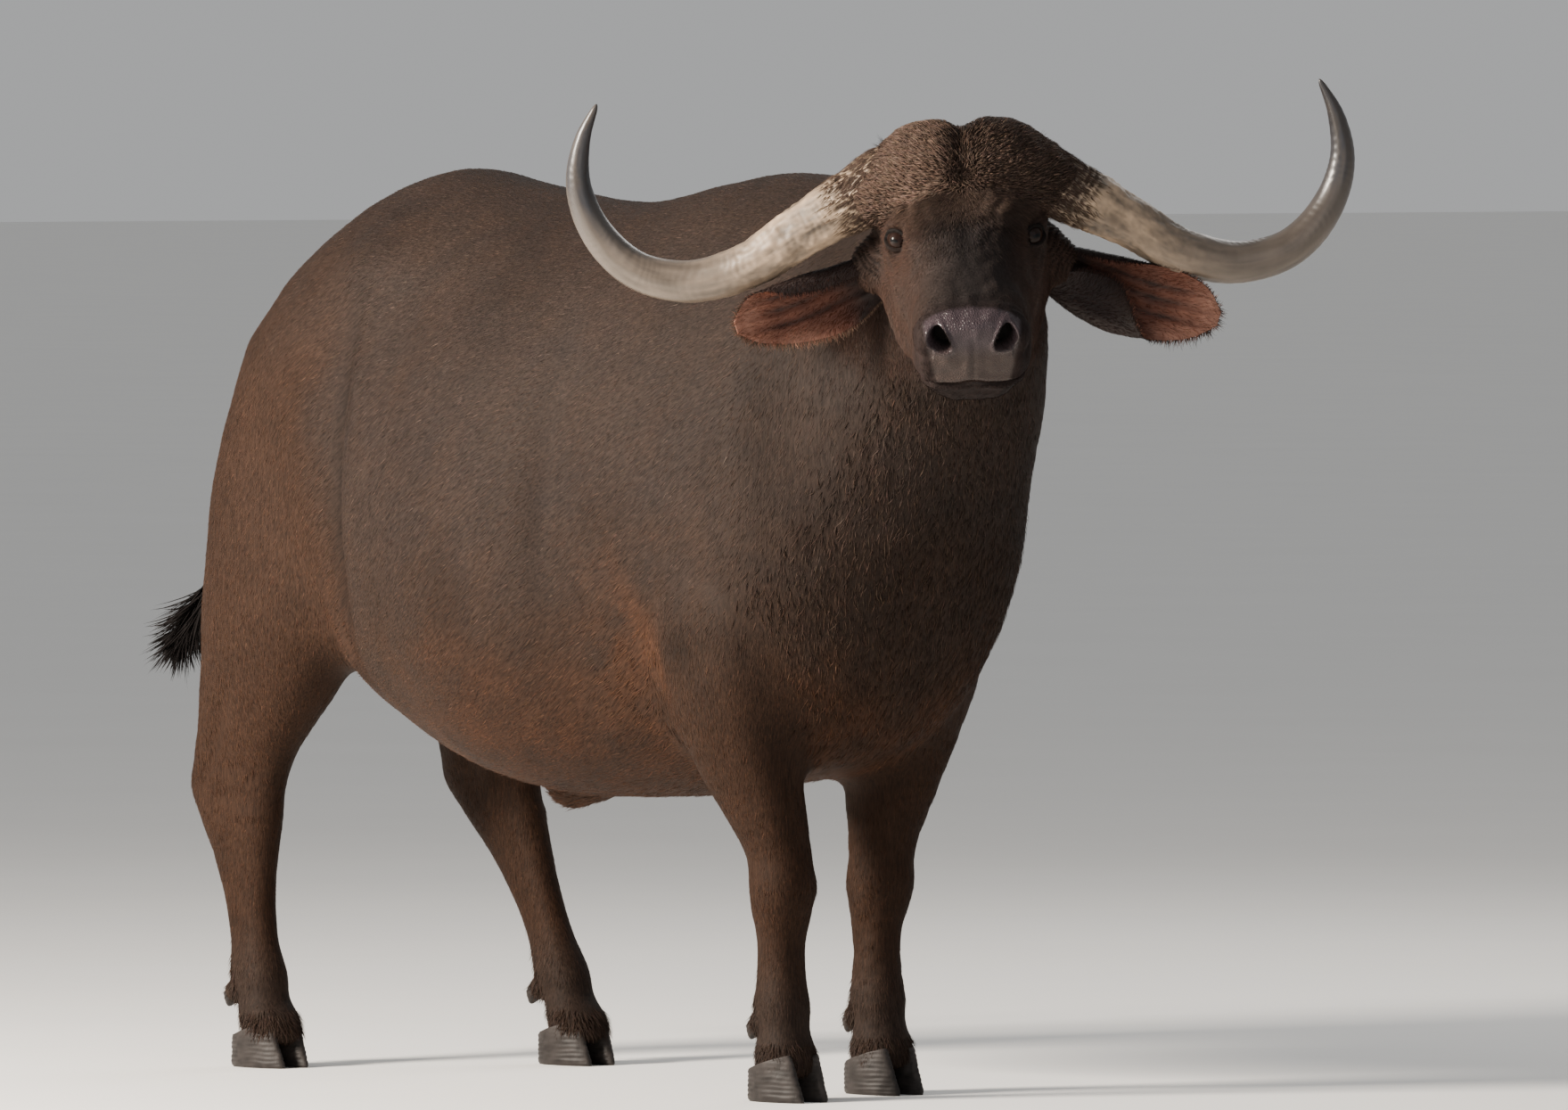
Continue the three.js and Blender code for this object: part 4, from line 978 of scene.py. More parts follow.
@dataclass(frozen=True)
class BodyForms:
    """What the skin of the body adds to its forms: unevenness, creases at elbow and flank, and the hocks."""

    swell: float = 1.5
    crease: float = 2.0
    hock_folds: tuple[float, ...] = (401.0, 452.0, 470.0)

    def shape(self, surface: Surface) -> Surface:
        """Moves the skin's points along their normals.

        Args:
            surface: The skin, in the animal's frame.

        Returns:
            The skin with the body's forms.
        """
        p = surface.points
        x, y, z = p.T
        a = np.abs(y)
        face = FACE.within(p)
        off = 1 - ease((face[:, 0] + 260) / 90) * (np.abs(face[:, 1]) < 260)
        out = self.swell * rough(p, 120.0, 21, 2) + 0.5 * rough(p, 34.0, 25, 2)
        pit = bell(x - 310, 55) * bell(z - 640, 70) * ease((a - 150) / 60)
        out += self.crease * pit * np.sin((0.85 * x + 0.5 * z) / 5.5 + ripple(p, 70, 31))
        fold = x + 372 + 0.6 * (z - 650) + 6 * ripple(p, 90, 33)
        flank = self.crease * bell(z - 670, 85) * ease((a - 200) / 60)
        out += flank * (1.6 * bell(fold + 22, 15) - 2.6 * bell(fold, 11))
        side = bell(z - 900, 230) * ease((a - 180) / 60)
        out -= side * (14.0 * bell(x + 366, 22) + 5.0 * bell(x - 196, 26))
        share, angle = SPINE.place(p)
        inner = ease(-np.cos(angle) / 0.5) * bell(share - 0.955, 0.04)
        out += 1.2 * self.crease * inner * np.sin(share * 260 + 1.2 * ripple(p, 120, 35))
        for leg in LEGS:
            out += self.hock(leg, p) if leg.name.startswith("hind") else self.knee(leg, p)
        return surface.moved(p + surface.normals() * (out * off)[:, None])

    @staticmethod
    def outer(leg: Leg, p: Array) -> tuple[Array, Array]:
        """How near points are to a leg, from 0 to 1, and their angle round it from front to outer side."""
        rows = leg.at(np.clip(p[:, 2], leg.table[0][0], leg.table[-1][0]))
        near = ease((1.4 - leg.reach(p)) / 0.2) * (p[:, 1] * leg.side > 0)
        ahead, out = (p[:, 0] - rows[:, 0]) / rows[:, 2], (p[:, 1] - rows[:, 1]) * leg.side / rows[:, 3]
        return near, np.arctan2(out, ahead)

    def hock(self, leg: Leg, p: Array) -> Array:
        """The groove before the tendon and the folds at the bend."""
        near, angle = self.outer(leg, p)
        z = p[:, 2]
        groove = bell(angle - 1.85 + (z - 480) / 700, 0.2) * ease((z - 390) / 60) * ease((660 - z) / 120)
        tendon = bell(angle - 2.45, 0.3) * ease((z - 440) / 60) * ease((660 - z) / 120)
        bend = ease((1.9 - angle) / 0.5) * ease((angle - 0.2) / 0.3)
        out = -6.5 * groove + 2.5 * tendon
        tilt = 9 * (angle - 1.0)
        for high in self.hock_folds:
            out = out + bend * (2.0 * bell(z - high + tilt, 4.5) - 1.6 * bell(z - high + tilt - 9, 4.5))
        inner = bell(angle + 1.5, 0.3) * ease((z - 390) / 60) * ease((660 - z) / 120)
        return near * (out - 4 * inner)

    def knee(self, leg: Leg, p: Array) -> Array:
        """The tendons behind the knee and light folds over it."""
        near, angle = self.outer(leg, p)
        z = p[:, 2]
        behind = bell(np.abs(angle) - 2.0, 0.25) * ease((z - 130) / 60) * ease((300 - z) / 60)
        folds = bell(np.abs(angle), 0.9) * bell(z - 335, 45) * np.sin(z / 3.2 + ripple(p, 40, 41))
        return near * (0.7 * folds - 2.6 * behind)


def eye_axes(side: int) -> tuple[Array, Array, Array]:
    """An eye's gaze, the way along its slit towards the nose, and up, in the face frame."""
    gaze = unit(GAZE * [1, side, 1])
    long = unit(SLIT - gaze * (gaze @ SLIT))
    up = np.cross(gaze, long)
    return gaze, long, up if up[2] > 0 else -up


def temple_grooves(face: Array) -> tuple[Array, Array]:
    """How far places lie in the temples, and how near each lies to the bottom of a groove that runs there."""
    x, y, z = face.T
    a = np.abs(y)
    within = ease((-14 - x) / 14) * ease((x + 112) / 22) * ease((34 - z) / 20) * ease((z + 110) / 20)
    line = (0.85 * a + 0.29 * x - 0.44 * z + 7.0 * ripple(face, 60, 3)) / 8.5
    return within * ease((a - 106) / 14), bell(line - np.floor(line) - 0.5, 0.26)


@dataclass(frozen=True)
class FaceForms:
    """What the skin of the face adds to the skull: lids, nostrils, lips and folds, in the face frame."""

    lid_thick: float = 3.6
    half_long: float = 18.3
    half_open: float = 12.0
    nostril: tuple[float, float, float] = (282.0, 50.0, -6.0)
    nostril_half: tuple[float, float] = (14.5, 20.0)
    nostril_deep: float = 24.0
    mouth_z: float = -90.0
    mouth_corner: float = 168.0

    def shape(self, surface: Surface) -> Surface:
        """Moves the skin's points near the face.

        Args:
            surface: The skin, in the animal's frame.

        Returns:
            The skin with the face's forms.
        """
        face = FACE.within(surface.points)
        near = (face[:, 0] > -215) & (np.abs(face[:, 1]) < 260)
        normal = FACE.within(surface.points + surface.normals()) - face
        moved = face.copy()
        moved[near] = self.folded(face[near], normal[near])
        for side in SIDES.values():
            moved[near] = self.lidded(moved[near], side)
        points = surface.points.copy()
        points[near] = FACE.out(moved[near])
        return surface.moved(points)

    def mouth_line(self, y: Array, x: Array) -> Array:
        """The height of the mouth's line: an arch at the middle and a rise to the corners."""
        return self.mouth_z + 6 * bell(y, 26) + 8 * ease((258 - x) / 90)

    def folded(self, p: Array, n: Array) -> Array:
        """Nostrils, mouth, lips, groove of the nose and folds, as moves along the normal or into the head."""
        x, y, z = p.T
        a = np.abs(y)
        out = np.zeros(len(p))
        line = z - self.mouth_line(y, x)
        lips = ease((x - self.mouth_corner + 6) / 22)
        out -= 7.0 * bell(line, 2.6) * lips
        out += 2.6 * bell(line - 9, 7) * lips + 2.4 * bell(line + 9, 7) * lips
        front = ease((x - 262) / 14)
        out -= 2.4 * bell(y, 3.2) * front * ease((z + 86) / 14) * ease((6 - z) / 20)
        out += 1.6 * bell(a - 9, 6) * front * ease((z + 80) / 20) * ease((-10 - z) / 20)
        # the pad's upper rim and the fold behind the nostril
        out -= 2.6 * bell(x - 236 + 0.12 * a, 7) * ease((z + 40) / 40)
        out -= 3.0 * bell(np.hypot((x - 262) / 1.0, (z + 4) / 1.5) - 27, 4.5) * (a > 60)
        # folds over the eyes, before the ears and down the cheek
        over = bell(x + 22, 60) * bell(a - 118, 34)
        out += 2.2 * over * np.sin((z - 0.5 * x) / 6.2) * ease((z - 12) / 16)
        back, groove = temple_grooves(p)
        out += back * (0.8 - 3.0 * groove) * (0.75 + 0.35 * ripple(p, 30, 4))
        under = bell(x - 18, 34) * bell(a - 112, 22) * ease((-14 - z) / 8) * ease((z + 64) / 30)
        out += 1.5 * under * np.sin(z / 3.6 + 0.02 * x)
        vein = bell(z + 62 + 0.25 * (x - 120), 5) * bell(x - 120, 55)
        out += 2.0 * vein + 1.0 * ripple(p, 42, 8) + 0.5 * ripple(p, 17, 9)
        moved = p + n * out[:, None]
        # the nostrils run in and back, and lean outwards at their tops
        r = self.nostril_reach(a, z)
        hole = ease((1.12 - r) / 0.42) * ease((x - 236) / 14)
        rim = bell(r - 1.22, 0.2) * ease((x - 250) / 12)
        inward = unit(np.stack([np.full(len(p), -1.0), -0.25 * np.sign(y), np.full(len(p), 0.12)], 1))
        return moved + inward * (hole * self.nostril_deep)[:, None] + n * (rim * 2.4)[:, None]

    def nostril_reach(self, a: Array, z: Array) -> Array:
        """How far places lie from a nostril's middle, in its half sizes; it leans and is hooked."""
        lean = math.radians(24)
        u = (a - self.nostril[1]) * math.cos(lean) - (z - self.nostril[2]) * math.sin(lean)
        v = (a - self.nostril[1]) * math.sin(lean) + (z - self.nostril[2]) * math.cos(lean)
        wide, high = self.nostril_half
        return np.hypot((u + 4.5 * (v / high) ** 2 - 1.5) / wide, v / high)

    def lidded(self, p: Array, side: int) -> Array:
        """Skin near one eye set on a shell round the eyeball, with the opening's skin sunk behind the ball.

        In the plane across the gaze b runs along the slit towards the nose and c up. The lids meet the ball
        at top(b) and low(b). The skin's distance from the eye's middle is a sum of bells of the way from
        them.
        """
        centre = EYE_PLACE * [1, side, 1]
        gaze, long, up = eye_axes(side)
        d = p - centre
        far = np.linalg.norm(d, axis=1)
        toward = d @ gaze / far
        b, c = d @ long * (EYE_RADIUS / far), d @ up * (EYE_RADIUS / far)
        inner = b / np.where(b > 0, self.half_long + 1.2, self.half_long)
        arch = np.clip(1 - inner**2, -1, 1)
        top = self.half_open * np.where(arch > 0, arch**0.8, arch) - 0.8 * inner
        low = -0.85 * self.half_open * np.where(arch > 0, arch**0.9, arch) - 0.8 * inner
        gap = np.minimum(top - c, c - low)
        above = c - top
        shell = EYE_RADIUS + self.lid_thick
        shell = shell + 1.5 * bell(gap + 2.2, 1.9)
        shell = shell - 2.6 * bell(above - 7.5, 1.7) + 2.2 * bell(above - 12.5, 4.0)
        shell = shell - 1.4 * bell(low - c - 7.0, 1.6) + 1.3 * bell(low - c - 11.0, 3.0)
        shell = shell - 1.2 * bell(above - 18.0, 1.6)
        radius = mix(shell, EYE_RADIUS - 3.0, ease((gap + 0.5) / 1.1))
        hold = ease((toward - 0.35) / 0.3) * ease((EYE_RADIUS + 26 - far) / 14)
        return centre + d / far[:, None] * mix(far, radius, hold)[:, None]


# Horns, eyes, ears and feet.


@dataclass(frozen=True)
class Horns:
    """The horns: rough and banded in the first third, smooth and dark towards the tips."""

    first: float = 0.115
    rows: int = 340
    sides: int = 68
    band: float = 13.0
    hairy: tuple[float, float] = (0.12, 0.29)

    @staticmethod
    def place(share: Array, angle: Array) -> Array:
        """Coordinates along the horn and on its section, for patterns that run along it."""
        rows = HORN.at(share)
        return np.stack([share * HORN.length(), rows[:, 4] * np.cos(angle), rows[:, 3] * np.sin(angle)], 1)

    def relief(self, share: Array, angle: Array, seed: int) -> Array:
        """The height out: lumps, uneven bands and flakes that fade along the horn, and fine lines beyond."""
        place = self.place(share, angle)
        old = 1 - ease((share - 0.3) / 0.3)
        wander = rough(place / [1.6, 1.0, 1.0], 42.0, seed, 2)
        band = np.sin(2 * np.pi * (place[:, 0] / self.band + 1.5 * wander))
        band *= np.clip(0.55 + 0.9 * lattice(place, 38.0, seed + 2), 0, 1.3)
        lumps = lattice(place / [1.3, 1.0, 1.0], 24.0, seed + 4)
        flakes = rough(place / [3.4, 1.0, 1.0], 8.5, seed + 5, 4)
        ridged = 1 - np.abs(lattice(place / [3.0, 1.0, 1.0], 12.0, seed + 7)) * 2
        pits = np.minimum(lattice(place / [1.8, 1.0, 1.0], 7.0, seed + 9) + 0.3, 0.0)
        lines = rough(place / [9.0, 1.0, 1.0], 5.0, seed + 20, 2)
        out = old * (1.8 * flakes + 0.4 * band + 1.4 * lumps + 1.2 * ridged + 2.2 * pits)
        out += (1 - old) * (0.25 * lines + 0.16 * band)
        end = np.sqrt(np.maximum(1 - np.clip((share - 0.985) / 0.015, 0, 1) ** 2, 0.0))
        return out * ease((1 - share) / 0.1) - (1 - end) * HORN.at(share)[:, 3]

    def tint(self, share: Array, angle: Array, relief: Array, seed: int) -> Array:
        """Tan-grey at the root, brown in the middle, slate at the tip; painted shade in the hollows, light on
        the flakes.
        """
        place = self.place(share, angle)
        cloud = rough(place / [2.5, 1, 1], 34.0, seed + 40, 3)
        streak = rough(place / [7.0, 1, 1], 7.0, seed + 50, 2)
        grit = rough(place / [2.2, 1, 1], 4.0, seed + 60, 2)
        old = 1 - ease((share - 0.26) / 0.34)
        tip = ease((share - 0.6) / 0.3)
        under = ease(0.5 - 0.5 * np.sin(angle))
        colour = blend(HORN_BROWN, HORN_TAN, old * (0.72 + 0.4 * cloud + 0.25 * grit))
        colour = blend(colour, HORN_SLATE, tip * (0.8 + 0.3 * streak) + 0.25 * under * (1 - old))
        # the old part is darker in its hollows and lighter on its raised flakes: painted shade and light
        shade = 1 + 0.3 * streak + 0.2 * cloud + old * (0.34 * np.clip(relief / 2.0, -1.6, 1.1) + 0.22 * grit)
        return colour * np.clip(shade, 0.3, 1.7)[:, None]

    def build(self, name: str, finish: bpy.types.Material) -> None:
        """One horn, as horn_right or horn_left."""
        seed = HORN_SEEDS[name]
        share, angle = grid(np.linspace(self.first, 0.9999, self.rows), self.sides)
        relief = self.relief(share, angle, seed)
        points = LEVEL.out(HORN.surface(share, angle, relief) * [1, SIDES[name], 1])
        horn = loft(points.reshape(self.rows, self.sides, 3)).outward()
        ends = np.tile(HORN_TAN, (2, 1))
        mesh = horn.mesh("horn_" + name + "_fine")
        put_values(mesh, "tint", np.concatenate([self.tint(share, angle, relief, seed), ends]))
        put_values(mesh, "old", np.r_[1 - ease((share - 0.3) / 0.3), 1, 0])
        add_piece(mesh, finish, ("horn_" + name,))

    def hair(self, name: str, coat: "Coat") -> None:
        """The mounds' hair that runs out over the horn's root."""
        first, last = self.hairy
        share, angle = grid(np.linspace(first, last, 24), 48)
        relief = self.relief(share, angle, HORN_SEEDS[name])
        points = LEVEL.out(HORN.surface(share, angle, relief) * [1, SIDES[name], 1])
        net = points.reshape(24, 48, 3)
        lie = unit(np.gradient(net, axis=0).reshape(-1, 3)) + [0, 0, -0.25]
        fade = ease((0.262 - share + 0.018 * rough(points, 24.0, 77, 2)) / 0.07)
        front = 0.35 + 0.65 * ease(0.5 + 0.8 * np.cos(angle))
        tint = blend(HORN_TAN * 0.5, COAT_BOSS, 0.4 + 0.6 * fade)
        chart = np.stack([STRIPS[name] + 0.12 * angle / (2 * np.pi), 0.87 + 0.1 * (share - first)], 1)
        bed = Bed(loft(net).outward(), *(np.concatenate([rows, rows[:2]]) for rows in (lie, tint, chart)))
        short = Kind((12, 24), (1.2, 2.2), 0.25, (0.7, 2.6), 0.16)
        parts = ((short, np.r_[fade * front, 0, 0], 4200),)
        coat.grow_on(bed, f"horn_{name}_hair", parts, 2100 if name == "right" else 2150)


@dataclass(frozen=True)
class Eyes:
    """The eyes: dark brown balls with a level oval pupil under a clear bulge."""

    rows: int = 72
    sides: int = 96
    bulge: float = 1.3
    iris: float = 0.7
    pupil: tuple[float, float] = (6.6, 2.9)

    def build(self, name: str, finish: bpy.types.Material) -> None:
        """One eye: centre + r (gaze sin u + long cos u cos v + up cos u sin v), r swelling near the gaze."""
        side = SIDES[name]
        centre = EYE_PLACE * [1, side, 1]
        gaze, long, up = eye_axes(side)
        u, v = grid(np.linspace(-np.pi / 2, np.pi / 2, self.rows + 2)[1:-1], self.sides)
        off = np.pi / 2 - u
        r = EYE_RADIUS + self.bulge * bell(off, 0.5)
        b, c = np.cos(u) * np.cos(v), np.cos(u) * np.sin(v)
        points = centre + r[:, None] * (gaze * np.sin(u)[:, None] + long * b[:, None] + up * c[:, None])
        ball_skin = loft(FACE.out(points).reshape(self.rows, self.sides, 3)).outward()
        ray = 0.5 + 0.5 * np.sin(v * 23 + 2 * np.sin(v * 7))
        colour = blend(EYE_IRIS, EYE_IRIS * 1.9, 0.5 * ray * ease(off / 0.5))
        colour = blend(colour, EYE_WHITE, ease((off - self.iris) / 0.08))
        colour = colour * (1 - 0.8 * bell(off - self.iris, 0.06))[:, None]
        hole = np.hypot(b * EYE_RADIUS / self.pupil[0], c * EYE_RADIUS / self.pupil[1])
        colour = blend(EYE_PUPIL, colour, ease((hole - 0.9) / 0.25))
        mesh = ball_skin.mesh("eye_" + name + "_fine")
        put_values(mesh, "tint", np.concatenate([colour, EYE_WHITE[None], EYE_PUPIL[None]]))
        add_piece(mesh, finish, ("eye_" + name,))


@dataclass(frozen=True)
class Curl:
    """How a rim of an ear rolls: its radius, how far it turns and how far it then runs straight, by share."""

    radius: float
    at: tuple[float, ...]
    turns: tuple[float, ...]
    straight: tuple[float, ...]

    def read(self, share: Array) -> tuple[Array, Array]:
        """Turn and straight run at shares."""
        at = np.array(self.at)
        both = curve_through(at, np.array([self.turns, self.straight], float).T, share)
        return np.maximum(both[:, 0], 0.02), np.maximum(both[:, 1], 0.0)


@dataclass(frozen=True)
class Ear:
    """One ear, a curved leaf that hangs out from its root, with rolled rims and ridges inside."""

    name: str
    tip: tuple[float, float, float]
    broad: float
    low: Curl
    high: Curl
    root: tuple[float, float, float] = (-100.0, 124.0, -58.0)
    rows: tuple = (
        (-0.06, 34, 1.25, 0), (0.06, 50, 1.2, -3), (0.2, 62, 1.05, -8), (0.38, 68, 0.85, -10),
        (0.58, 66, 0.66, -6), (0.76, 57, 0.52, -1), (0.91, 38, 0.4, 1), (1, 12, 0.3, 0),
    )
    opens: tuple[float, float, float] = (0.86, 0.1, -0.36)
    # height, distance from the middle line and how much it wanders
    ridges: tuple = ((2.6, -30, 0.6), (3.2, -4, 1.0), (2.4, 22, 1.3))
    thick: float = 4.2
    count: int = 110
    across_count: int = 76

    def frame(self, share: Array) -> tuple[Array, ...]:
        """Each section's middle, arc radius and bend, and the ways across (up) and out of its opening."""
        root, tip = np.array(self.root), np.array(self.tip)
        along = unit(tip - root)
        opening = np.array(self.opens)
        opening = unit(opening - along * (opening @ along))
        across = np.cross(opening, along)
        table = np.array(self.rows, float)
        gone, spread, bend, lift = curve_through(table[:, 0], table, share).T
        middle = root + (tip - root) * gone[:, None] + across * lift[:, None]
        return middle, self.broad * spread / np.sin(bend), bend, across, opening

    def surface(self, share: Array, part: Array) -> tuple[Array, Array, Array]:
        """The leaf's outer face, its way inwards and the length from its middle line, for part from -1 to 1.

        A section is an arc about its middle. Near a rim it goes over into a tighter arc, and then runs
        straight: P = P0 + rho (T0 sin f + N0 (1 - cos f)) + T1 s.
        """
        middle, radius, bend, across, opening = self.frame(share)
        points = np.empty((len(share), 3))
        inward = np.empty((len(share), 3))
        gone = np.empty(len(share))
        for curl, sign in ((self.low, -1), (self.high, 1)):
            turns, straight = curl.read(share)
            tight = np.minimum(curl.radius, 0.6 * radius * np.sin(bend))
            rolled = tight / radius * np.sin(np.minimum(turns, 1.57))
            held = np.arcsin(np.clip(np.sin(bend) - rolled, 0.02, 0.99))
            total = held * radius + turns * tight + straight
            a = np.abs(part) * total
            base = np.minimum(a / radius, held)
            roll = np.clip((a - held * radius) / tight, 0, turns)
            run = np.maximum(a - held * radius - turns * tight, 0)
            c0, s0 = np.cos(base), np.sin(base)
            # in the section's plane: w across, away from the middle, and o towards the opening
            w = radius * s0 + tight * (c0 * np.sin(roll) - s0 * (1 - np.cos(roll)))
            o = radius * np.cos(bend) - radius * c0 + tight * (s0 * np.sin(roll) + c0 * (1 - np.cos(roll)))
            turned = base + roll
            w, o = w + run * np.cos(turned), o + run * np.sin(turned)
            on = (part < 0) == (sign < 0)
            point = middle + across * (sign * w)[:, None] + opening * o[:, None]
            normal = across * (-sign * np.sin(turned))[:, None] + opening * np.cos(turned)[:, None]
            points[on], inward[on], gone[on] = point[on], normal[on], (sign * a)[on]
        return points, inward, gone

    def faces(self, share: Array, part: Array) -> tuple[Array, Array]:
        """Outer and inner face in the animal's frame, the inner with ridges that run from root to tip."""
        points, inward, gone = self.surface(share, part)
        wander = 5 * np.sin(share * 7)
        ridges = sum(high * bell(gone - y - wander * k, 4.5) for high, y, k in self.ridges)
        held = ease(share / 0.15) * ease((1.02 - share) / 0.2)
        folds = 1.6 * np.sin(gone / 5.0 + 6 * share) * ease((-gone - 26) / 14) * bell(share - 0.6, 0.28)
        rim = np.abs(part) ** 5
        thick = mix(self.thick, 1.2, rim) + np.maximum((ridges + folds) * held, -2.2) * (1 - rim)
        thick += 0.4 * lattice(points, 7.0, 5)
        dent = 1.2 * rough(points, 40.0, 8, 2) * (1 - rim)
        side = SIDES[self.name]
        outer = LEVEL.out((points + inward * dent[:, None]) * [1, side, 1])
        inner = LEVEL.out((points + inward * (thick + dent)[:, None]) * [1, side, 1])
        return outer, inner

    def build(self, finish: bpy.types.Material) -> None:
        """The leaf as a closed skin: out along the outer face and back along the inner."""
        along = mix(-0.03, 1.0, np.linspace(0, 1, self.count))
        part = np.sin(np.linspace(-np.pi / 2, np.pi / 2, self.across_count))
        share, part = (m.ravel() for m in np.meshgrid(along, part, indexing="ij"))
        outer, inner = (f.reshape(self.count, -1, 3) for f in self.faces(share, part))
        leaf = loft(np.concatenate([outer, inner[:, ::-1]], 1)).outward()
        shape = (self.count, self.across_count)
        tints = [self.tint(share, part, within).reshape(*shape, 3) for within in (False, True)]
        mesh = leaf.mesh("ear_" + self.name + "_leaf")
        colour = np.concatenate([tints[0], tints[1][:, ::-1]], 1).reshape(-1, 3)
        put_values(mesh, "tint", np.concatenate([colour, np.tile(EAR_DARK, (2, 1))]))
        add_piece(mesh, finish, ("ear_" + self.name,))

    def hair(self, coat: "Coat") -> None:
        """Short hair on the outer face, a fringe along the rims and long sparse hair inside."""
        along = np.linspace(0.0, 0.985, 70)
        part = np.sin(np.linspace(-np.pi / 2, np.pi / 2, 44))
        share, part = (m.ravel() for m in np.meshgrid(along, part, indexing="ij"))
        shape = (70, 44, 3)
        far = ease((np.abs(part) - 0.72) / 0.28)
        faces = self.faces(share, part)
        left = STRIPS[self.name]
        made, lies, tints = [], [], []
        i, j = np.meshgrid(np.arange(69) * 44, np.arange(43), indexing="ij")
        quads = np.stack([i + j, i + j + 1, i + j + 45, i + j + 44], -1).reshape(-1, 4)
        for within, points in enumerate(faces):
            net = points.reshape(shape)
            down = unit(np.gradient(net, axis=0).reshape(-1, 3))
            out = unit(np.gradient(net, axis=1).reshape(-1, 3)) * np.sign(part)[:, None]
            surface = Surface.of(points, quads)
            away = points - faces[1 - within]
            if (surface.normals() * away).sum() < 0:
                surface = Surface.of(points, quads[:, ::-1])
            made.append(surface)
            lies.append(blend(down, out * 1.2, 0.25 + 0.6 * far))
            tint = self.tint(share, part, bool(within))
            # the pale fringe on the right ear alone is painted light
            end = np.maximum(far * (part < 0), ease((share - 0.85) / 0.08)) * (self.name == "right")
            tints.append(tint if within else blend(EAR_DARK * 1.3, EAR_LIT_TIPS, end))
        chart = np.tile(np.stack([left + 0.06 + 0.06 * part, 0.6 + 0.26 * share], 1), (2, 1))
        bed = Bed(Surface.joined(made), np.concatenate(lies), np.concatenate(tints), chart)
        zero = np.zeros(len(part))
        outer = np.r_[np.ones(len(part)), zero]
        edge = ease((np.abs(part) - 0.9) / 0.06) * np.where(part < 0, ease((share - 0.15) / 0.3), 0.12)
        rim = np.r_[edge + 1.6 * ease((share - 0.9) / 0.05) * (part < 0.7), zero]
        inner = np.r_[zero, ease((share - 0.1) / 0.2) * (1 - 0.6 * ease((0.7 - np.abs(part)) / 0.4))]
        coat.grow_on(bed, f"ear_{self.name}_hair", (
            (Kind((7, 12), (1.3, 2.1), 0.25, (0.6, 1.6), 0.2), outer, 6500),
            (Kind((8, 22), (0.7, 1.4), 0.4, (-1, 4), 0.35), rim, 420),
            (Kind((8, 17), (0.8, 1.4), 0.3, (0.8, 3.0), 0.3), inner, 2400),
        ), 2000 if self.name == "right" else 2050)

    def tint(self, share: Array, part: Array, within: bool) -> Array:
        """Dark brown outside; inside dark at the root (dark hair and painted shade), then red-brown and pink
        to rims and tip.
        """
        points, _, gone = self.surface(share, part)
        cloud = rough(points, 22.0, 14, 3)
        if not within:
            return EAR_DARK * (1 + 0.25 * cloud)[:, None]
        wander = 5 * np.sin(share * 7)
        lines = sum(bell(gone - y - wander * k, 4.0) for y, k in ((-21, 0.8), (7, 1.1), (31, 1.2)))
        # dark near the root: partly dark hair, partly painted shade under the horn
        rosy = ease((share - 0.12) / 0.3) * (0.62 + 0.38 * ease((share - 0.5) / 0.4))
        # dark lines beside the ridges: painted shade
        rosy *= 1 - 0.75 * np.clip(lines, 0, 1) * ease((0.95 - share) / 0.3)
        colour = blend(EAR_DARK * 1.1, EAR_RED, rosy + 0.15 * cloud)
        pale = ease((np.abs(part) - 0.45) / 0.4) * ease((share - 0.3) / 0.3) * (part < 0)
        pale = np.clip(pale + ease((share - 0.72) / 0.2), 0, 1)
        return blend(colour, EAR_PINK, pale * (0.6 + 0.4 * cloud))


EARS = (
    Ear(
        "right", (-84, 350, -130), 0.86,
        low=Curl(9, (0, 0.3, 0.7, 1), (0.9, 0.5, 0.3, 0.2), (0, 0, 0, 0)),
        high=Curl(13, (0, 0.25, 0.6, 0.85, 1), (1.9, 2.5, 2.3, 0.7, 0.2), (6, 10, 8, 0, 0)),
    ),
    Ear(
        "left", (-96, 384, -142), 1.0,
        low=Curl(20, (0, 0.25, 0.42, 0.58, 0.7, 1), (2.2, 2.9, 2.9, 2.2, 0.7, 0.2), (20, 50, 52, 12, 0, 0)),
        high=Curl(12, (0, 0.3, 0.7, 1), (1.2, 1.6, 0.7, 0.2), (0, 2, 0, 0)),
    ),
)


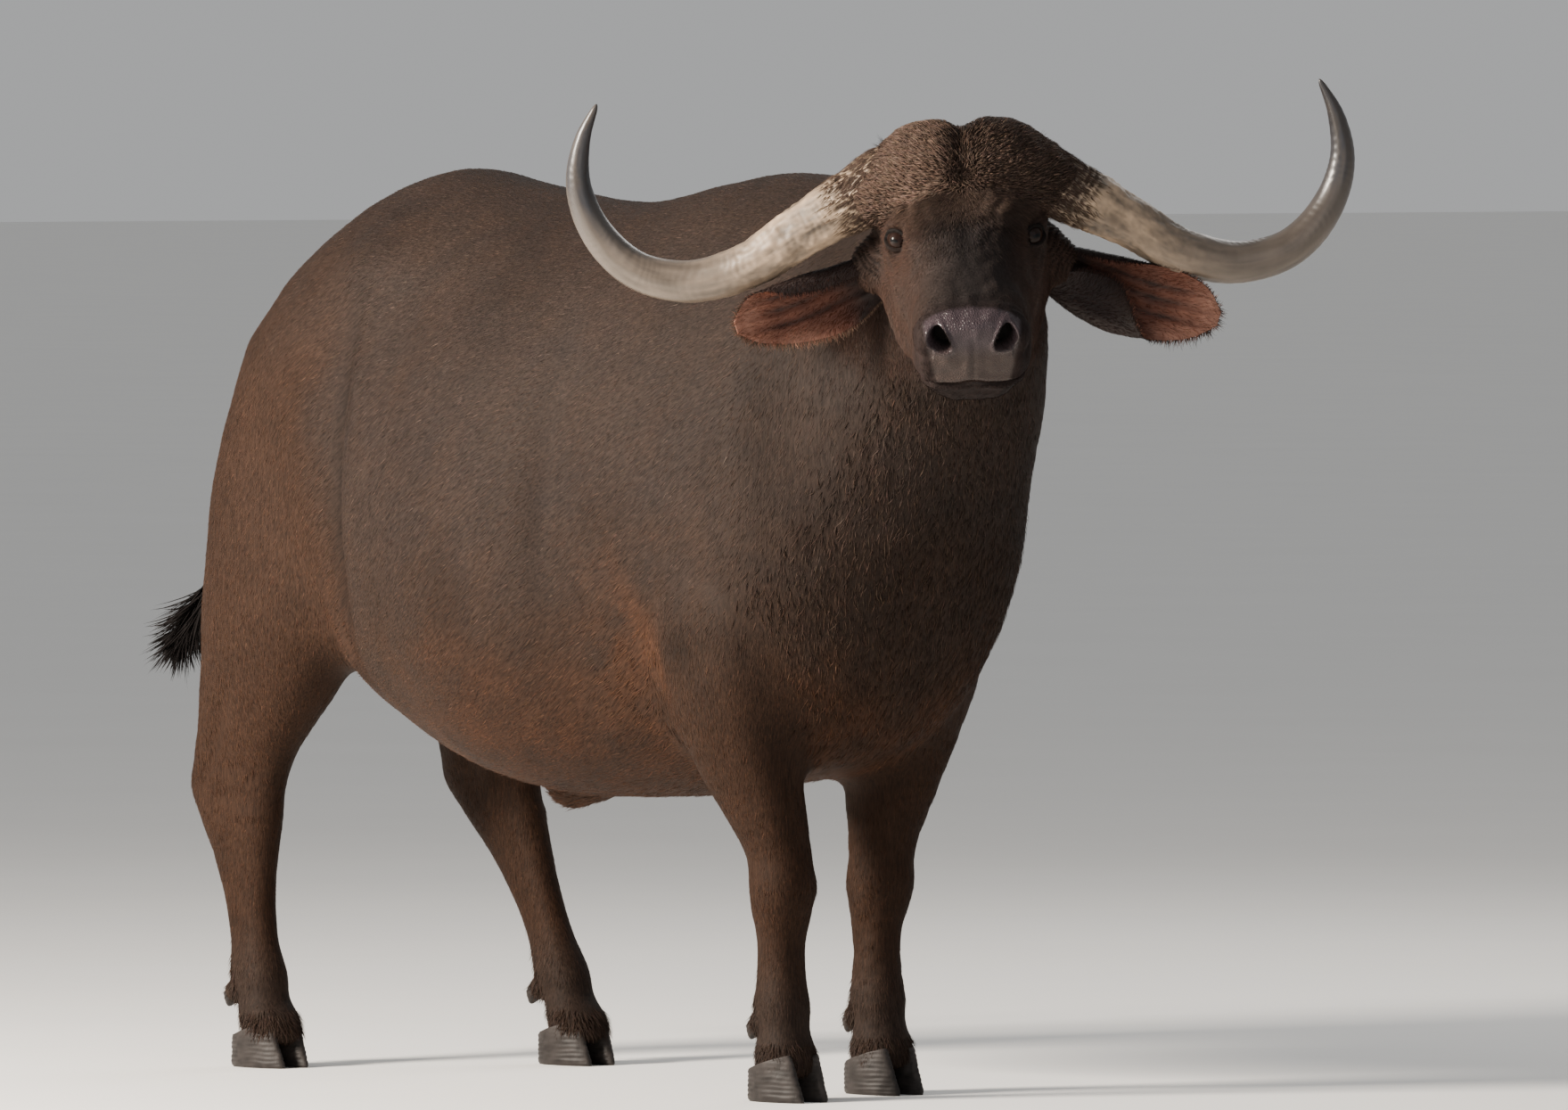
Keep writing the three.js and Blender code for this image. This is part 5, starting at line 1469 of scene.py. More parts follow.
@dataclass(frozen=True)
class Hooves:
    """The cloven hooves and the dew claws, with growth rings."""

    heel: tuple[float, float] = (50, 44)
    toe: tuple[float, float] = (74, 34)
    half: float = 25.0
    gap: float = 5.0
    toe_in: float = 9.0
    high: float = 92.0
    hairline: tuple[float, float] = (60.0, 0.3)
    rows: int = 40
    sides: int = 48

    def claw(self, x: float, y: float, side: int, seed: int) -> tuple[Array, Array]:
        """Points of one claw and their heights: lobed sections from the sole up to the sloping hairline."""
        share, angle = grid(np.linspace(0, 1, self.rows) ** 1.2, self.sides)
        c, s = power(np.cos(angle), 0.85), power(np.sin(angle), 0.85)
        point = (c + 1) / 2
        z = share * 60
        for _ in range(3):
            t = z / self.high
            heel, toe = -mix(*self.heel, t), mix(*self.toe, t)
            along = mix(heel, toe, point)
            z = share * (self.hairline[0] + self.hairline[1] * along)
        inset = 3.0 * (1 - ease(z / 7)) ** 2
        wall = 0.45 * np.sin(z / 1.15 + 1.5 * lattice(np.stack([along, s * 20, z], 1), 24, seed))
        wall += 0.9 * rough(np.stack([along, s * 25, z], 1), 12, seed, 3)
        grow = wall * ease(z / 6) - inset
        middle = self.gap / 2 + self.half - self.toe_in * point**2 * (1 - t) / 2
        half = (self.half + np.minimum(grow, 1.0)) * (1 - 0.5 * point**3)
        along = along + grow * c
        return np.stack([x + along, y + side * (middle + half * s - 0.4), z], 1), z

    def build(self, leg: Leg, finish: bpy.types.Material) -> None:
        """Both claws and both dew claws of one leg."""
        foot = leg.at(np.array([72.5 if leg.name.startswith("fore") else 85.7]))[0]
        for name, side in SIDES.items():
            seed = 100 + 10 * LEG_NAMES.index(leg.name) + side
            points, z = self.claw(foot[0], foot[1], side, seed)
            claw = loft(points.reshape(self.rows, self.sides, 3)).outward()
            claw.points[:, 2] = np.maximum(claw.points[:, 2], 0.0)
            mesh = claw.mesh(f"claw_{leg.name}_{name}_fine")
            shade = 1 + 0.35 * rough(points, 9.0, seed + 3, 3) + 0.5 * ease((z - 44) / 20)
            tint = HOOF_DARK * np.clip(shade, 0.4, 2.0)[:, None]
            put_values(mesh, "tint", np.concatenate([tint, np.tile(HOOF_DARK, (2, 1))]))
            add_piece(mesh, finish, (f"claw_{leg.name}_{name}",))
            dew = self.dew_claw(self.dew_place(leg, side), side, seed)
            mesh = dew.mesh(f"dew_claw_{leg.name}_{name}_fine")
            put_values(mesh, "tint", np.tile(HOOF_DARK, (len(dew.points), 1)))
            add_piece(mesh, finish, (f"dew_claw_{leg.name}_{name}",))

    @staticmethod
    def dew_place(leg: Leg, side: int) -> Array:
        """The middle of a dew claw, behind the fetlock."""
        fetlock = leg.at(np.array([119.0 if leg.name.startswith("fore") else 145.4]))[0]
        return np.array([fetlock[0] - 40, fetlock[1] + side * 24, 112.0])

    @staticmethod
    def dew_claw(centre: Array, side: int, seed: int) -> Surface:
        """A flattened cone with rings: (down sin u, back, across) scaled by its half sizes, pointed below."""
        down = unit(np.array([-0.45, 0.1 * side, -1.0]))
        back = unit(np.array([-1.0, 0, 0.45]))
        back = unit(back - down * (back @ down))
        across = np.cross(down, back)
        u, v = grid(np.linspace(-np.pi / 2, np.pi / 2, 24)[1:-1], 28)
        narrow = 1 - 0.35 * ease(np.sin(u))
        c, s = np.cos(v), np.sin(v)
        ring = 0.5 * np.sin(np.sin(u) * 18) + 0.6 * rough(np.stack([u * 20, c * 15, s * 15], 1), 8, seed, 2)
        r = np.cos(u) * narrow
        points = centre + down * (20 * np.sin(u))[:, None]
        points = points + back * (r * (12 + ring) * c)[:, None] + across * (r * (15 + ring) * s)[:, None]
        return loft(points.reshape(22, 28, 3)).outward()


# Markings and the lie of the coat.


@dataclass
class Regions:
    """Where points lie on the body: shares and angles on each form, and how much they belong to each."""

    points: Array
    face: Array = field(init=False)
    level: Array = field(init=False)
    spine: tuple[Array, Array] = field(init=False)
    head: Array = field(init=False)
    mounds: Array = field(init=False)
    tail: Array = field(init=False)
    legs: Array = field(init=False)
    part: Array = field(init=False)
    share: Array = field(init=False)
    angle: Array = field(init=False)

    def __post_init__(self) -> None:
        """Reads every form at every point."""
        p = self.points
        self.face, self.level = FACE.within(p), LEVEL.within(p)
        self.spine = SPINE.place(p)
        x, y, z = self.face.T
        self.head = ease((x + 175 - 0.35 * (z + 100)) / 50) * (np.abs(y) < 210) * ease((z + 275) / 40)
        boss_share, boss_angle, boss_far = BOSS.place(self.level)
        self.mounds = ease((1.22 - boss_far) / 0.16) * ease((self.level[:, 2] - 8) / 30)
        tail_share, tail_angle, tail_far = TAIL.place(p)
        self.tail = ease((1.5 - tail_far) / 0.3) * ease((-775 - p[:, 0]) / 30)
        self.legs = np.zeros((4, len(p)))
        for i, leg in enumerate(LEGS):
            top = leg.table[-1][0]
            self.legs[i] = ease((1.32 - leg.reach(p)) / 0.25) * ease((top - 60 - p[:, 2]) / 160)
            self.legs[i] *= (p[:, 1] * leg.side > -30) & (np.abs(p[:, 0] - leg.at(p[:, 2])[:, 0]) < 260)
        self.part = np.full(len(p), Part.SPINE.value)
        self.share, self.angle = self.spine[0].copy(), self.spine[1].copy()
        for i, leg in enumerate(LEGS):
            on = self.legs[i] > 0.5
            self.part[on] = Part.FORE_RIGHT.value + i
            self.share[on] = (p[on, 2] / leg.table[-1][0]).clip(0, 1)
            self.angle[on] = leg.angle(p)[on]
        on = self.head > 0.5
        self.part[on] = Part.HEAD.value
        self.share[on] = ((x[on] + 200) / 490).clip(0, 1)
        self.angle[on] = SKULL.angle(self.face)[on]
        for on, part, share, angle in (
            (self.mounds > 0.5, Part.BOSS, boss_share, boss_angle),
            (self.tail > 0.5, Part.TAIL, tail_share, tail_angle),
        ):
            self.part[on], self.share[on], self.angle[on] = part.value, share[on], angle[on]

    def chart(self) -> Array:
        """Each point's place on the unwrap: its form's tile, filled by angle and share."""
        tiles = np.array([
            (0.01, 0.01, 0.60, 0.57), (0.62, 0.01, 0.18, 0.28), (0.81, 0.01, 0.18, 0.28),
            (0.62, 0.30, 0.18, 0.28), (0.81, 0.30, 0.18, 0.28), (0.01, 0.59, 0.40, 0.40),
            (0.42, 0.59, 0.28, 0.20), (0.42, 0.80, 0.28, 0.19),
        ])
        left, low, wide, high = tiles[self.part].T
        u = left + wide * (self.angle / (2 * np.pi) + 0.5)
        return np.stack([u, low + high * self.share], 1)

    def lie(self) -> Array:
        """The hair's way, before it is laid onto the skin: each form's own, mixed where they meet."""
        way = blend(self.body_lie(), FACE.turned(self.face_lie()), self.head)
        way = blend(way, LEVEL.turned(self.boss_lie()), self.mounds)
        along, _, _ = TAIL.axes(TAIL.place(self.points)[0])
        return unit(blend(way, along, self.tail))

    def body_lie(self) -> Array:
        """On trunk and legs: backwards along the spine, falling on the sides, and down chest and legs."""
        x, _, z = self.points.T
        forward, _, _ = SPINE.axes(SPINE.at(self.spine[0]))
        neck = ease((x - 520) / 150)
        rump = ease((-430 - x) / 200)
        fall = np.abs(np.cos(self.spine[1])) * mix(mix(0.75, 1.4, neck), 1.5, rump) + 0.25 * neck
        chest = ease((x - 560) / 120) * ease((900 - z) / 200)
        down = np.array([0, 0, -1.0])
        way = -forward * (1 - 0.9 * chest)[:, None] + down * (fall + 2.0 * chest)[:, None]
        legs = self.legs.max(0)
        way = blend(unit(way), unit(np.array([-0.18, 0, -1.0])), legs * ease((820 - z) / 250))
        return way + down * (0.8 * legs)[:, None]

    def face_lie(self) -> Array:
        """In the face frame: ahead on the bridge, back over the cheeks, and from a whorl on the forehead."""
        x, y, z = self.face.T
        cheek = ease((np.abs(y) - 40) / 60)
        jaw = ease((-60 - z) / 60)
        face = np.stack([
            mix(1.0, -0.75, cheek * ease((190 - x) / 120)) * (1 - 1.7 * jaw * ease((170 - x) / 60)),
            np.tanh(y / 30) * mix(0.45, 0.15, cheek),
            mix(-0.1, -0.75, cheek),
        ], 1)
        whorl = np.stack([x + 30, 1.2 * y, 0.4 * (z - 86)], 1)
        return unit(blend(unit(face), unit(whorl), ease((80 - x) / 60) * ease((z - 10) / 40)))

    def boss_lie(self) -> Array:
        """In the level head frame: outwards over the mounds, and from the whorl between them."""
        u, v, w = self.level.T
        ahead = ease((u + 60) / 80)
        over = ease((w - 110) / 50)
        back = mix(-0.8, -0.1, ahead) - 0.5 * over
        boss = np.stack([back, np.tanh(v / 18) * 1.1, mix(-0.3, 0.42, ahead) + 0.2 * over], 1)
        spread = (self.level - WHORL) * [0.3, 1, 1]
        return unit(blend(unit(boss), unit(spread), bell(v, 60) * ease((135 - w) / 30)))

    def colours(self) -> Array:
        """The coat's colours: the body's, the face's, dusty mounds with a parting, and a dark tail."""
        cloud, patch = rough(self.points, 150.0, 301, 3), rough(self.points, 46.0, 311, 3)
        colour = blend(self.body_colour(cloud, patch), self.face_colour(patch), self.head)
        dust = blend(COAT_BOSS, COAT_BOSS * 1.25, 0.5 + 0.6 * patch)
        dust = dust * (1 - 0.4 * bell(self.level[:, 1], 26))[:, None]
        colour = blend(colour, dust, self.mounds)
        colour = blend(colour, COAT_TAIL, self.tail * ease((1000 - self.points[:, 2]) / 250))
        return colour * (1 + 0.12 * cloud + 0.08 * patch)[:, None]

    def body_colour(self, cloud: Array, patch: Array) -> Array:
        """Grey-brown above, red-brown below, a red streak, painted shade in the thigh's groove, dark elbow
        and feet.

        Args:
            cloud: Broad noise at the points.
            patch: Finer noise there.

        Returns:
            Colours of shape (n, 3).
        """
        x, y, z = self.points.T
        height = z + 70 * cloud
        legs = self.legs.max(0)
        side = ease((np.abs(y) - 150) / 60)
        colour = blend(COAT_GREY, COAT_BROWN, 0.25 + 0.75 * ease((1020 - height) / 480) + 0.2 * patch)
        back = ease((-360 - x + 60 * cloud) / 160)
        colour = blend(colour, COAT_WARM, 0.75 * back * ease((1380 - height) / 300))
        belly = ease((720 - height) / 220) * (1 - legs)
        colour = blend(colour, COAT_RED, belly * (0.7 + 0.4 * patch))
        pits = bell(x - 330, 85) * bell(z - 660, 130) + bell(x + 400, 60) * bell(z - 690, 120)
        # on the brisket the red is partly the coat's tone and partly painted light
        pits += bell(x - 640, 60) * bell(z - 600, 80) * ease((np.abs(y) - 40) / 60)
        colour = blend(colour, COAT_RED, np.minimum(pits * (0.4 + 0.4 * patch), 0.7))
        streak = bell(x - 337 - 0.39 * (810 - z) + 8 * cloud, 20) * bell(z - 680, 120) * side
        colour = blend(colour, COAT_RED * 1.15, np.minimum(streak, 0.85))
        # painted shade in the groove before the thigh, and darker above the elbow
        dark = bell(x + 362 + 10 * cloud, 30) * bell(z - 880, 260) + bell(x - 470, 48) * bell(z - 700, 52)
        colour = colour * (1 - 0.5 * np.clip(dark * side, 0, 1))[:, None]
        leg = blend(COAT_LEG, COAT_WARM, ease(-x / 200) * ease((z - 150) / 350))
        colour = blend(colour, leg, legs * ease((760 - z) / 250))
        return blend(colour, COAT_FOOT, 0.75 * ease((260 - z) / 150))

    def face_colour(self, patch: Array) -> Array:
        """Red-brown on the cheeks, dark on bridge and eye rings, with painted shade in temple grooves and
        nostrils.
        """
        x, y, z = self.face.T
        face = blend(COAT_FACE, COAT_CHEEK, ease((np.abs(y) - 45) / 40) * (0.75 + 0.5 * patch))
        face = blend(face, COAT_BRIDGE, 0.85 * bell(y, 52) * ease((z + 40) / 60) * ease((x - 20) / 70))
        face = blend(face, COAT_BOSS * 0.8, 0.8 * ease((70 - x) / 60) * ease((z - 20) / 30))
        eye = bell(np.linalg.norm(on_left(self.face) - [20, 108, 2], axis=1), 26)
        back, groove = temple_grooves(self.face)
        # darker round the eyes; in the temples, painted shade in the folds' grooves and lighter between them
        face = face * ((1 - 0.35 * eye) * (1 + back * (0.15 - 0.75 * groove)))[:, None]
        above = ease((0.83 * z - 0.55 * (x - 14) + 4) / 10)
        face = blend(face, COAT_BRIDGE * 0.28, self.bare() * mix(0.5, 0.9, above))
        face = blend(face, COAT_MUZZLE, 0.8 * ease((x - 215) / 40))
        # painted shade inside the nostrils
        return face * (1 - 0.85 * self.holes())[:, None]

    def bare(self) -> Array:
        """Which points lie in the eyes' openings and on the lids' rims, as 0 or 1."""
        found = np.zeros(len(self.points), bool)
        for side in SIDES.values():
            gaze, long, up = eye_axes(side)
            d = self.face - EYE_PLACE * [1, side, 1]
            far = np.linalg.norm(d, axis=1)
            b, c = d @ long * (EYE_RADIUS / far), d @ up * (EYE_RADIUS / far)
            found |= ((b / 20.0) ** 2 + ((c - 0.8) / 13.8) ** 2 < 1) & (d @ gaze > 0) & (far < EYE_RADIUS + 7)
        return found.astype(float)

    def holes(self) -> Array:
        """How far points lie inside the nostrils, from 0 to 1."""
        x, y, z = self.face.T
        return ease((1.05 - FaceForms().nostril_reach(np.abs(y) + 4, z - 2)) / 0.25) * (x > 236)

    def wet(self) -> Array:
        """How bare and wet the skin is: the nose pad, between and round the nostrils and down to the lip."""
        x, y, z = self.face.T
        a = np.abs(y)
        top = ease((x - 246 - 0.10 * a) / 9)
        side = ease((72 - a + 0.18 * (z + 20)) / 9)
        return top * side * ease((z + 92) / 6) * (1 - self.holes())


# Tufts of hair.


@dataclass
class Ground:
    """The skin as something that points are laid onto."""

    skin: Surface
    target: bpy.types.Object = field(init=False)

    def __post_init__(self) -> None:
        """Keeps the skin as a hidden object until it is let go."""
        self.target = placed("ground", self.skin.mesh("ground"))

    def nearest(self, points: Array) -> tuple[Array, Array]:
        """The nearest places on the skin and the skin's normals there."""
        mesh = bpy.data.meshes.new("points")
        mesh.vertices.add(len(points))
        mesh.vertices.foreach_set("co", Place.metres(points).astype(np.float32).ravel())
        piece = placed("points", mesh)
        wrap = piece.modifiers.new("wrap", "SHRINKWRAP")
        wrap.target = self.target
        wrap.wrap_method = "NEAREST_SURFACEPOINT"
        wrap.wrap_mode = "ABOVE_SURFACE"
        found = []
        for off in (0.0, 0.002):
            wrap.offset = off
            flat = np.empty(len(points) * 3, np.float32)
            finished(piece).vertices.foreach_get("co", flat)
            found.append(Place.animal(flat.reshape(-1, 3).astype(float)))
        bpy.data.objects.remove(piece)
        return found[0], unit(found[1] - found[0])

    def free(self) -> None:
        """Lets the hidden object go."""
        bpy.data.objects.remove(self.target)


@dataclass(frozen=True)
class Kind:
    """A kind of tuft: its sizes as (least, most), how far its tip lifts, how it wanders and its rings."""

    long: tuple[float, float]
    wide: tuple[float, float]
    thick: float
    lift: tuple[float, float]
    wander: float
    rings: int = 1
    sink: float = 0.8
    droop: float = 0.0


@dataclass
class Tufts:
    """Tufts as ways from root to tip, each with a flat three-sided section that tapers to a point."""

    ways: Array
    outs: Array
    wide: Array
    thick: Array
    tint: Array
    chart: Array

    def girths(self) -> Array:
        """The width at each ring as a share: the fullest a third of the way up."""
        rings = self.ways.shape[1] - 1
        t = np.arange(rings) / rings
        return np.ones(1) if rings == 1 else np.sqrt(1 - t) * (0.72 + 0.9 * t * (1 - t) * 2)

    def surface(self) -> Surface:
        """Rings of left, ridge and right, closed by a base and a tip."""
        ways, outs, girth = self.ways, self.outs, self.girths()
        number, steps = ways.shape[0], ways.shape[1] - 1
        along = np.gradient(ways, axis=1)[:, :-1]
        across = unit(np.cross(outs[:, :-1], along)) * (self.wide[:, None] * girth / 2)[..., None]
        ridge = outs[:, :-1] * (self.thick[:, None] * girth)[..., None]
        middle = ways[:, :-1]
        ring = np.stack([middle - across, middle + ridge, middle + across], 2).reshape(number, steps * 3, 3)
        points = np.concatenate([ring, ways[:, -1:]], 1)
        size = steps * 3 + 1
        j = np.arange(3)
        k = (j + 1) % 3
        quads = [np.stack([3 * i + j, 3 * i + k, 3 * i + 3 + k, 3 * i + 3 + j], 1) for i in range(steps - 1)]
        tip = np.stack([3 * (steps - 1) + j, 3 * (steps - 1) + k, np.full(3, size - 1)], 1)
        triangles = np.concatenate([[[2, 1, 0]], tip])
        first = (np.arange(number) * size)[:, None, None]
        faces = [(triangles[None] + first).reshape(-1, 3)]
        if quads:
            faces.append((np.concatenate(quads)[None] + first).reshape(-1, 4))
        return Surface.of(points.reshape(-1, 3), *faces).outward()

    def mesh(self, name: str) -> bpy.types.Mesh:
        """The tufts as one mesh with their tint, darker at the root as painted shade, and their patches on
        the unwrap.
        """
        made = self.surface()
        steps = self.ways.shape[1] - 1
        mesh = made.mesh(name, steps > 1)
        t = np.r_[np.repeat(np.arange(steps) / steps, 3), 1.0]
        # darker towards the root: painted shade among the hairs
        shade = mix(*TUFT_SHADE, t)
        put_values(mesh, "tint", (self.tint[:, None] * shade[None, :, None]).reshape(-1, 3))
        across = np.r_[np.tile([-1.0, 0.0, 1.0], steps), 0.0]
        patch = np.stack([across, 2 * t - 1], 1) * PATCH
        uv = (self.chart[:, None] + patch[None]).reshape(-1, 2)
        layer = mesh.uv_layers.new(name="OFBake")
        layer.uv.foreach_set("vector", uv[made.corners].astype(np.float32).ravel())
        log.info("%s: %d tufts, %d triangles", name, len(self.ways), int((made.totals() - 2).sum()))
        return mesh


@dataclass
class Sampler:
    """Places on the skin drawn evenly by area times a density."""

    skin: Surface
    triangles: Array = field(init=False)
    areas: Array = field(init=False)
    normals: Array = field(init=False)

    def __post_init__(self) -> None:
        """Cuts every face into a fan of triangles."""
        totals = self.skin.totals()
        fans = totals - 2
        face = np.repeat(np.arange(len(totals)), fans)
        k = np.arange(len(face)) - np.repeat(np.cumsum(fans) - fans, fans)
        start = self.skin.starts[face]
        corners = self.skin.corners
        self.triangles = np.stack([corners[start], corners[start + k + 1], corners[start + k + 2]], 1)
        a, b, c = (self.skin.points[self.triangles[:, i]] for i in range(3))
        self.areas = np.linalg.norm(np.cross(b - a, c - a), axis=1) / 2
        self.normals = self.skin.normals()

    def middles(self) -> Array:
        """The middle of each triangle."""
        return self.skin.points[self.triangles].mean(1)

    def draw(self, density: Array, count: int, seed: int) -> tuple[Array, Array]:
        """Even steps along the summed area, each with a random share of a step, and a random place within.

        Args:
            density: How many tufts an area gets, one value a triangle.
            count: How many places.
            seed: Picks them.

        Returns:
            The points of the triangles that hold the places, and the three points' shares in each.
        """
        rng = np.random.default_rng(seed)
        total = np.cumsum(self.areas * density)
        at = (np.arange(count) + rng.uniform(0, 1, count)) / count * total[-1]
        chosen = self.triangles[np.searchsorted(total, at).clip(0, len(total) - 1)]
        s, t = np.sqrt(rng.uniform(0, 1, count)), rng.uniform(0, 1, count)
        return chosen, np.stack([1 - s, s * (1 - t), s * t], 1)[..., None]

    def across(self, values: Array) -> Array:
        """The mean of each triangle's three values."""
        return values[self.triangles].mean(1)


def laid(way: Array, out: Array, turned: Array) -> Array:
    """Ways laid flat on a surface whose normals are out, and turned round them by angles in radians."""
    way = unit(way - out * (way * out).sum(1)[:, None])
    return way * np.cos(turned)[:, None] + np.cross(out, way) * np.sin(turned)[:, None]


@dataclass
class Bed:
    """A surface of its own that tufts grow on, with lie, colour and place on the unwrap at each point."""

    surface: Surface
    lie: Array
    tint: Array
    chart: Array


@dataclass
class Coat:
    """The coat over the skin, in pieces of one kind of tuft each."""

    skin: Surface
    finish: bpy.types.Material
    sampler: Sampler = field(init=False)
    ground: Ground = field(init=False)
    where: Regions = field(init=False)

    def __post_init__(self) -> None:
        """Reads the regions once, at the middles of the skin's triangles."""
        self.sampler = Sampler(self.skin)
        self.ground = Ground(self.skin)
        self.where = Regions(self.sampler.middles())

    def grow(self, name: str, kind: Kind, density: Array, count: int, seed: int, bright: float = 0.2) -> None:
        """Grows one piece of coat.

        Args:
            name: The piece's name.
            kind: The tufts' sizes.
            density: How thickly they stand, one value a triangle of the skin.
            count: How many.
            seed: Picks their places and sizes.
            bright: How much their brightness varies.
        """
        rng = np.random.default_rng(seed)
        chosen, shares = self.sampler.draw(density, count, seed + 1)
        points = (self.skin.points[chosen] * shares).sum(1)
        normals = unit((self.sampler.normals[chosen] * shares).sum(1))
        regions = Regions(points)
        tint = self.varied(regions.colours(), bright, rng)
        swirl = rng.normal(0, kind.wander, count) + 0.35 * lattice(points, 45.0, seed) * (kind.wander > 0.2)
        swirl += 1.3 * rng.normal(0, 1, count) * bell(np.linalg.norm(regions.level - WHORL, axis=1), 17)
        long = rng.uniform(*kind.long, count) * (1 + 0.15 * lattice(points, 60.0, seed + 3))
        long = long * mix(1.0, mix(0.5, 1.0, ease((regions.level[:, 2] - 25) / 45)), regions.mounds)
        lift = rng.uniform(*kind.lift, count) * (1 + 0.5 * lattice(points, 18.0, seed + 5))
        ways, outs = [points - normals * kind.sink], [normals]
        here, out = points, normals
        for i in range(kind.rings):
            lie = Regions(here).lie() if i else regions.lie()
            here = here + laid(lie, out, swirl * (1 + 0.5 * i)) * (long / kind.rings)[:, None]
            if kind.rings > 1:
                here, out = self.ground.nearest(here)
            t = (i + 1) / kind.rings
            high = lift * (t**0.7 - kind.droop * t**3)
            ways.append(here + out * high[:, None])
            outs.append(out)
        wide = rng.uniform(*kind.wide, count)
        along, out = np.stack(ways, 1), np.stack(outs, 1)
        tufts = Tufts(along, out, wide, wide * kind.thick, tint, regions.chart())
        add_piece(tufts.mesh(name), self.finish)

    @staticmethod
    def varied(tint: Array, bright: float, rng: np.random.Generator) -> Array:
        """Colours made lighter or darker, and warmer or cooler, tuft by tuft."""
        tint = tint * np.exp(rng.normal(0, bright, len(tint)))[:, None]
        return tint * (1 + rng.normal(0, 0.05, (len(tint), 3)) * [1, 0.3, -1])

    def grow_on(
        self, bed: Bed, name: str, parts: "tuple[tuple[Kind, Array, int], ...]", seed: int
    ) -> None:
        """Grows short tufts of one ring on a surface of its own.

        Args:
            bed: The surface with its lie and colours.
            name: The piece's name.
            parts: Kinds with their density, one value a point of the surface, and their count.
            seed: Picks places and sizes.
        """
        rng = np.random.default_rng(seed)
        sampler = Sampler(bed.surface)
        made = []
        for kind, density, count in parts:
            chosen, shares = sampler.draw(sampler.across(density), count, seed + len(made))
            points, out, way, tint, chart = (
                (values[chosen] * shares).sum(1)
                for values in (bed.surface.points, sampler.normals, bed.lie, bed.tint, bed.chart)
            )
            out = unit(out)
            way = laid(way, out, rng.normal(0, kind.wander, count))
            long, lift, wide = (rng.uniform(*size, count) for size in (kind.long, kind.lift, kind.wide))
            tip = points + way * long[:, None] + out * lift[:, None]
            ways = np.stack([points - out * kind.sink, tip], 1)
            tint = self.varied(tint, 0.25, rng)
            made.append((ways, np.stack([out, out], 1), wide, wide * kind.thick, tint, chart))
        add_piece(Tufts(*(np.concatenate(a) for a in zip(*made))).mesh(name), self.finish)

    def cover(self) -> None:
        """Every piece of the coat on the skin."""
        where = self.where
        legs = where.legs.max(0)
        leg = legs * ease((620 - where.points[:, 2]) / 200)
        off = (1 - where.head) * (1 - where.mounds) * (1 - where.tail)
        short = Kind((12, 21), (1.7, 2.8), 0.14, (0.5, 1.3), 0.12)
        for i in range(4):
            self.grow(f"coat_body_{i + 1}", short, off * (1 - 0.9 * leg), 37500, 1000 + 10 * i, 0.3)
        shorter = Kind((9, 15), (1.5, 2.4), 0.14, (0.4, 1.1), 0.12)
        self.grow("coat_legs", shorter, leg * (1 - where.tail), 34000, 1100, 0.28)
        self.cover_head()
        self.cover_edges(off, legs, leg)

    def cover_head(self) -> None:
        """Short hair on head and face, longer hair on the mounds and between them and the eyes."""
        where = self.where
        x, _, z = where.face.T
        near = where.head * (1 - where.mounds) * (1 - where.wet()) * (1 - where.bare())
        temple = bell(np.linalg.norm(on_left(where.level) - [-88, 138, -34], axis=1), 42)
        cheeks = near * ease((150 - x) / 60) * (1 - 0.9 * temple)
        self.grow("coat_head", Kind((8, 13), (1.5, 2.5), 0.22, (0.8, 2.0), 0.2), cheeks, 28000, 1200)
        fine = near * mix(0.15, 1.0, ease((x - 20) / 60))
        self.grow("coat_face", Kind((4, 7.5), (1.0, 1.7), 0.22, (0.4, 1.1), 0.2), fine, 36000, 1300)
        boss = Kind((14, 27), (1.5, 2.7), 0.34, (2.5, 6.5), 0.17, 2, 1.2, 0.2)
        for i in range(2):
            self.grow(f"coat_boss_{i + 1}", boss, where.mounds, 11500, 1400 + 10 * i, 0.34)
        brow = near * ease((z - 22) / 25) * ease((x + 120) / 40) * ease((78 - x) / 50)
        self.grow("coat_brow", Kind((10, 18), (1.3, 2.3), 0.3, (1.2, 3.6), 0.2), brow, 12000, 1500, 0.28)

    def cover_edges(self, off: Array, legs: Array, leg: Array) -> None:
        """Longer hair where it breaks the outline: throat, belly, heels and tail.

        Args:
            off: How far each place lies off head, mounds and tail.
            legs: How far it belongs to a leg.
            leg: How far it belongs to a lower leg.
        """
        where = self.where
        x, _, z = where.points.T
        share, angle = where.spine
        under = ease((-np.sin(angle) - 0.5) / 0.35)
        throat = off * (1 - legs) * (under * ease((x - 520) / 120) + 0.5 * bell(share - 0.99, 0.03))
        hanging = Kind((16, 30), (1.5, 2.6), 0.22, (1.2, 4), 0.2, 2, 1.0, 0.2)
        self.grow("coat_throat", hanging, throat, 4500, 1600, 0.3)
        belly = bell(angle + np.pi / 2, 0.3) * ease((480 - x) / 60) * ease((x + 360) / 80)
        belly += 1.5 * bell(x + 165, 45) * (z < 470) + bell(x - 330, 60) * bell(z - 600, 90)
        loose = Kind((16, 28), (1.7, 2.8), 0.2, (1, 3.5), 0.2)
        self.grow("coat_belly", loose, off * (1 - leg) * belly, 5000, 1700, 0.28)
        behind = [np.cos(item.angle(where.points)) + 2 * (where.legs[i] < 0.5) for i, item in enumerate(LEGS)]
        heel = 1.2 * ease((-0.3 - np.min(behind, axis=0)) / 0.3) * bell(z - 132, 36)
        feet = legs * (ease((96 - z) / 10) * (z > 56) + heel)
        self.grow("coat_feet", Kind((12, 22), (1.5, 2.6), 0.25, (2.5, 6), 0.2), feet, 6000, 1800, 0.25)
        self.grow("coat_tail", Kind((10, 18), (1.6, 2.6), 0.3, (1, 3), 0.15), where.tail, 3500, 1900, 0.25)


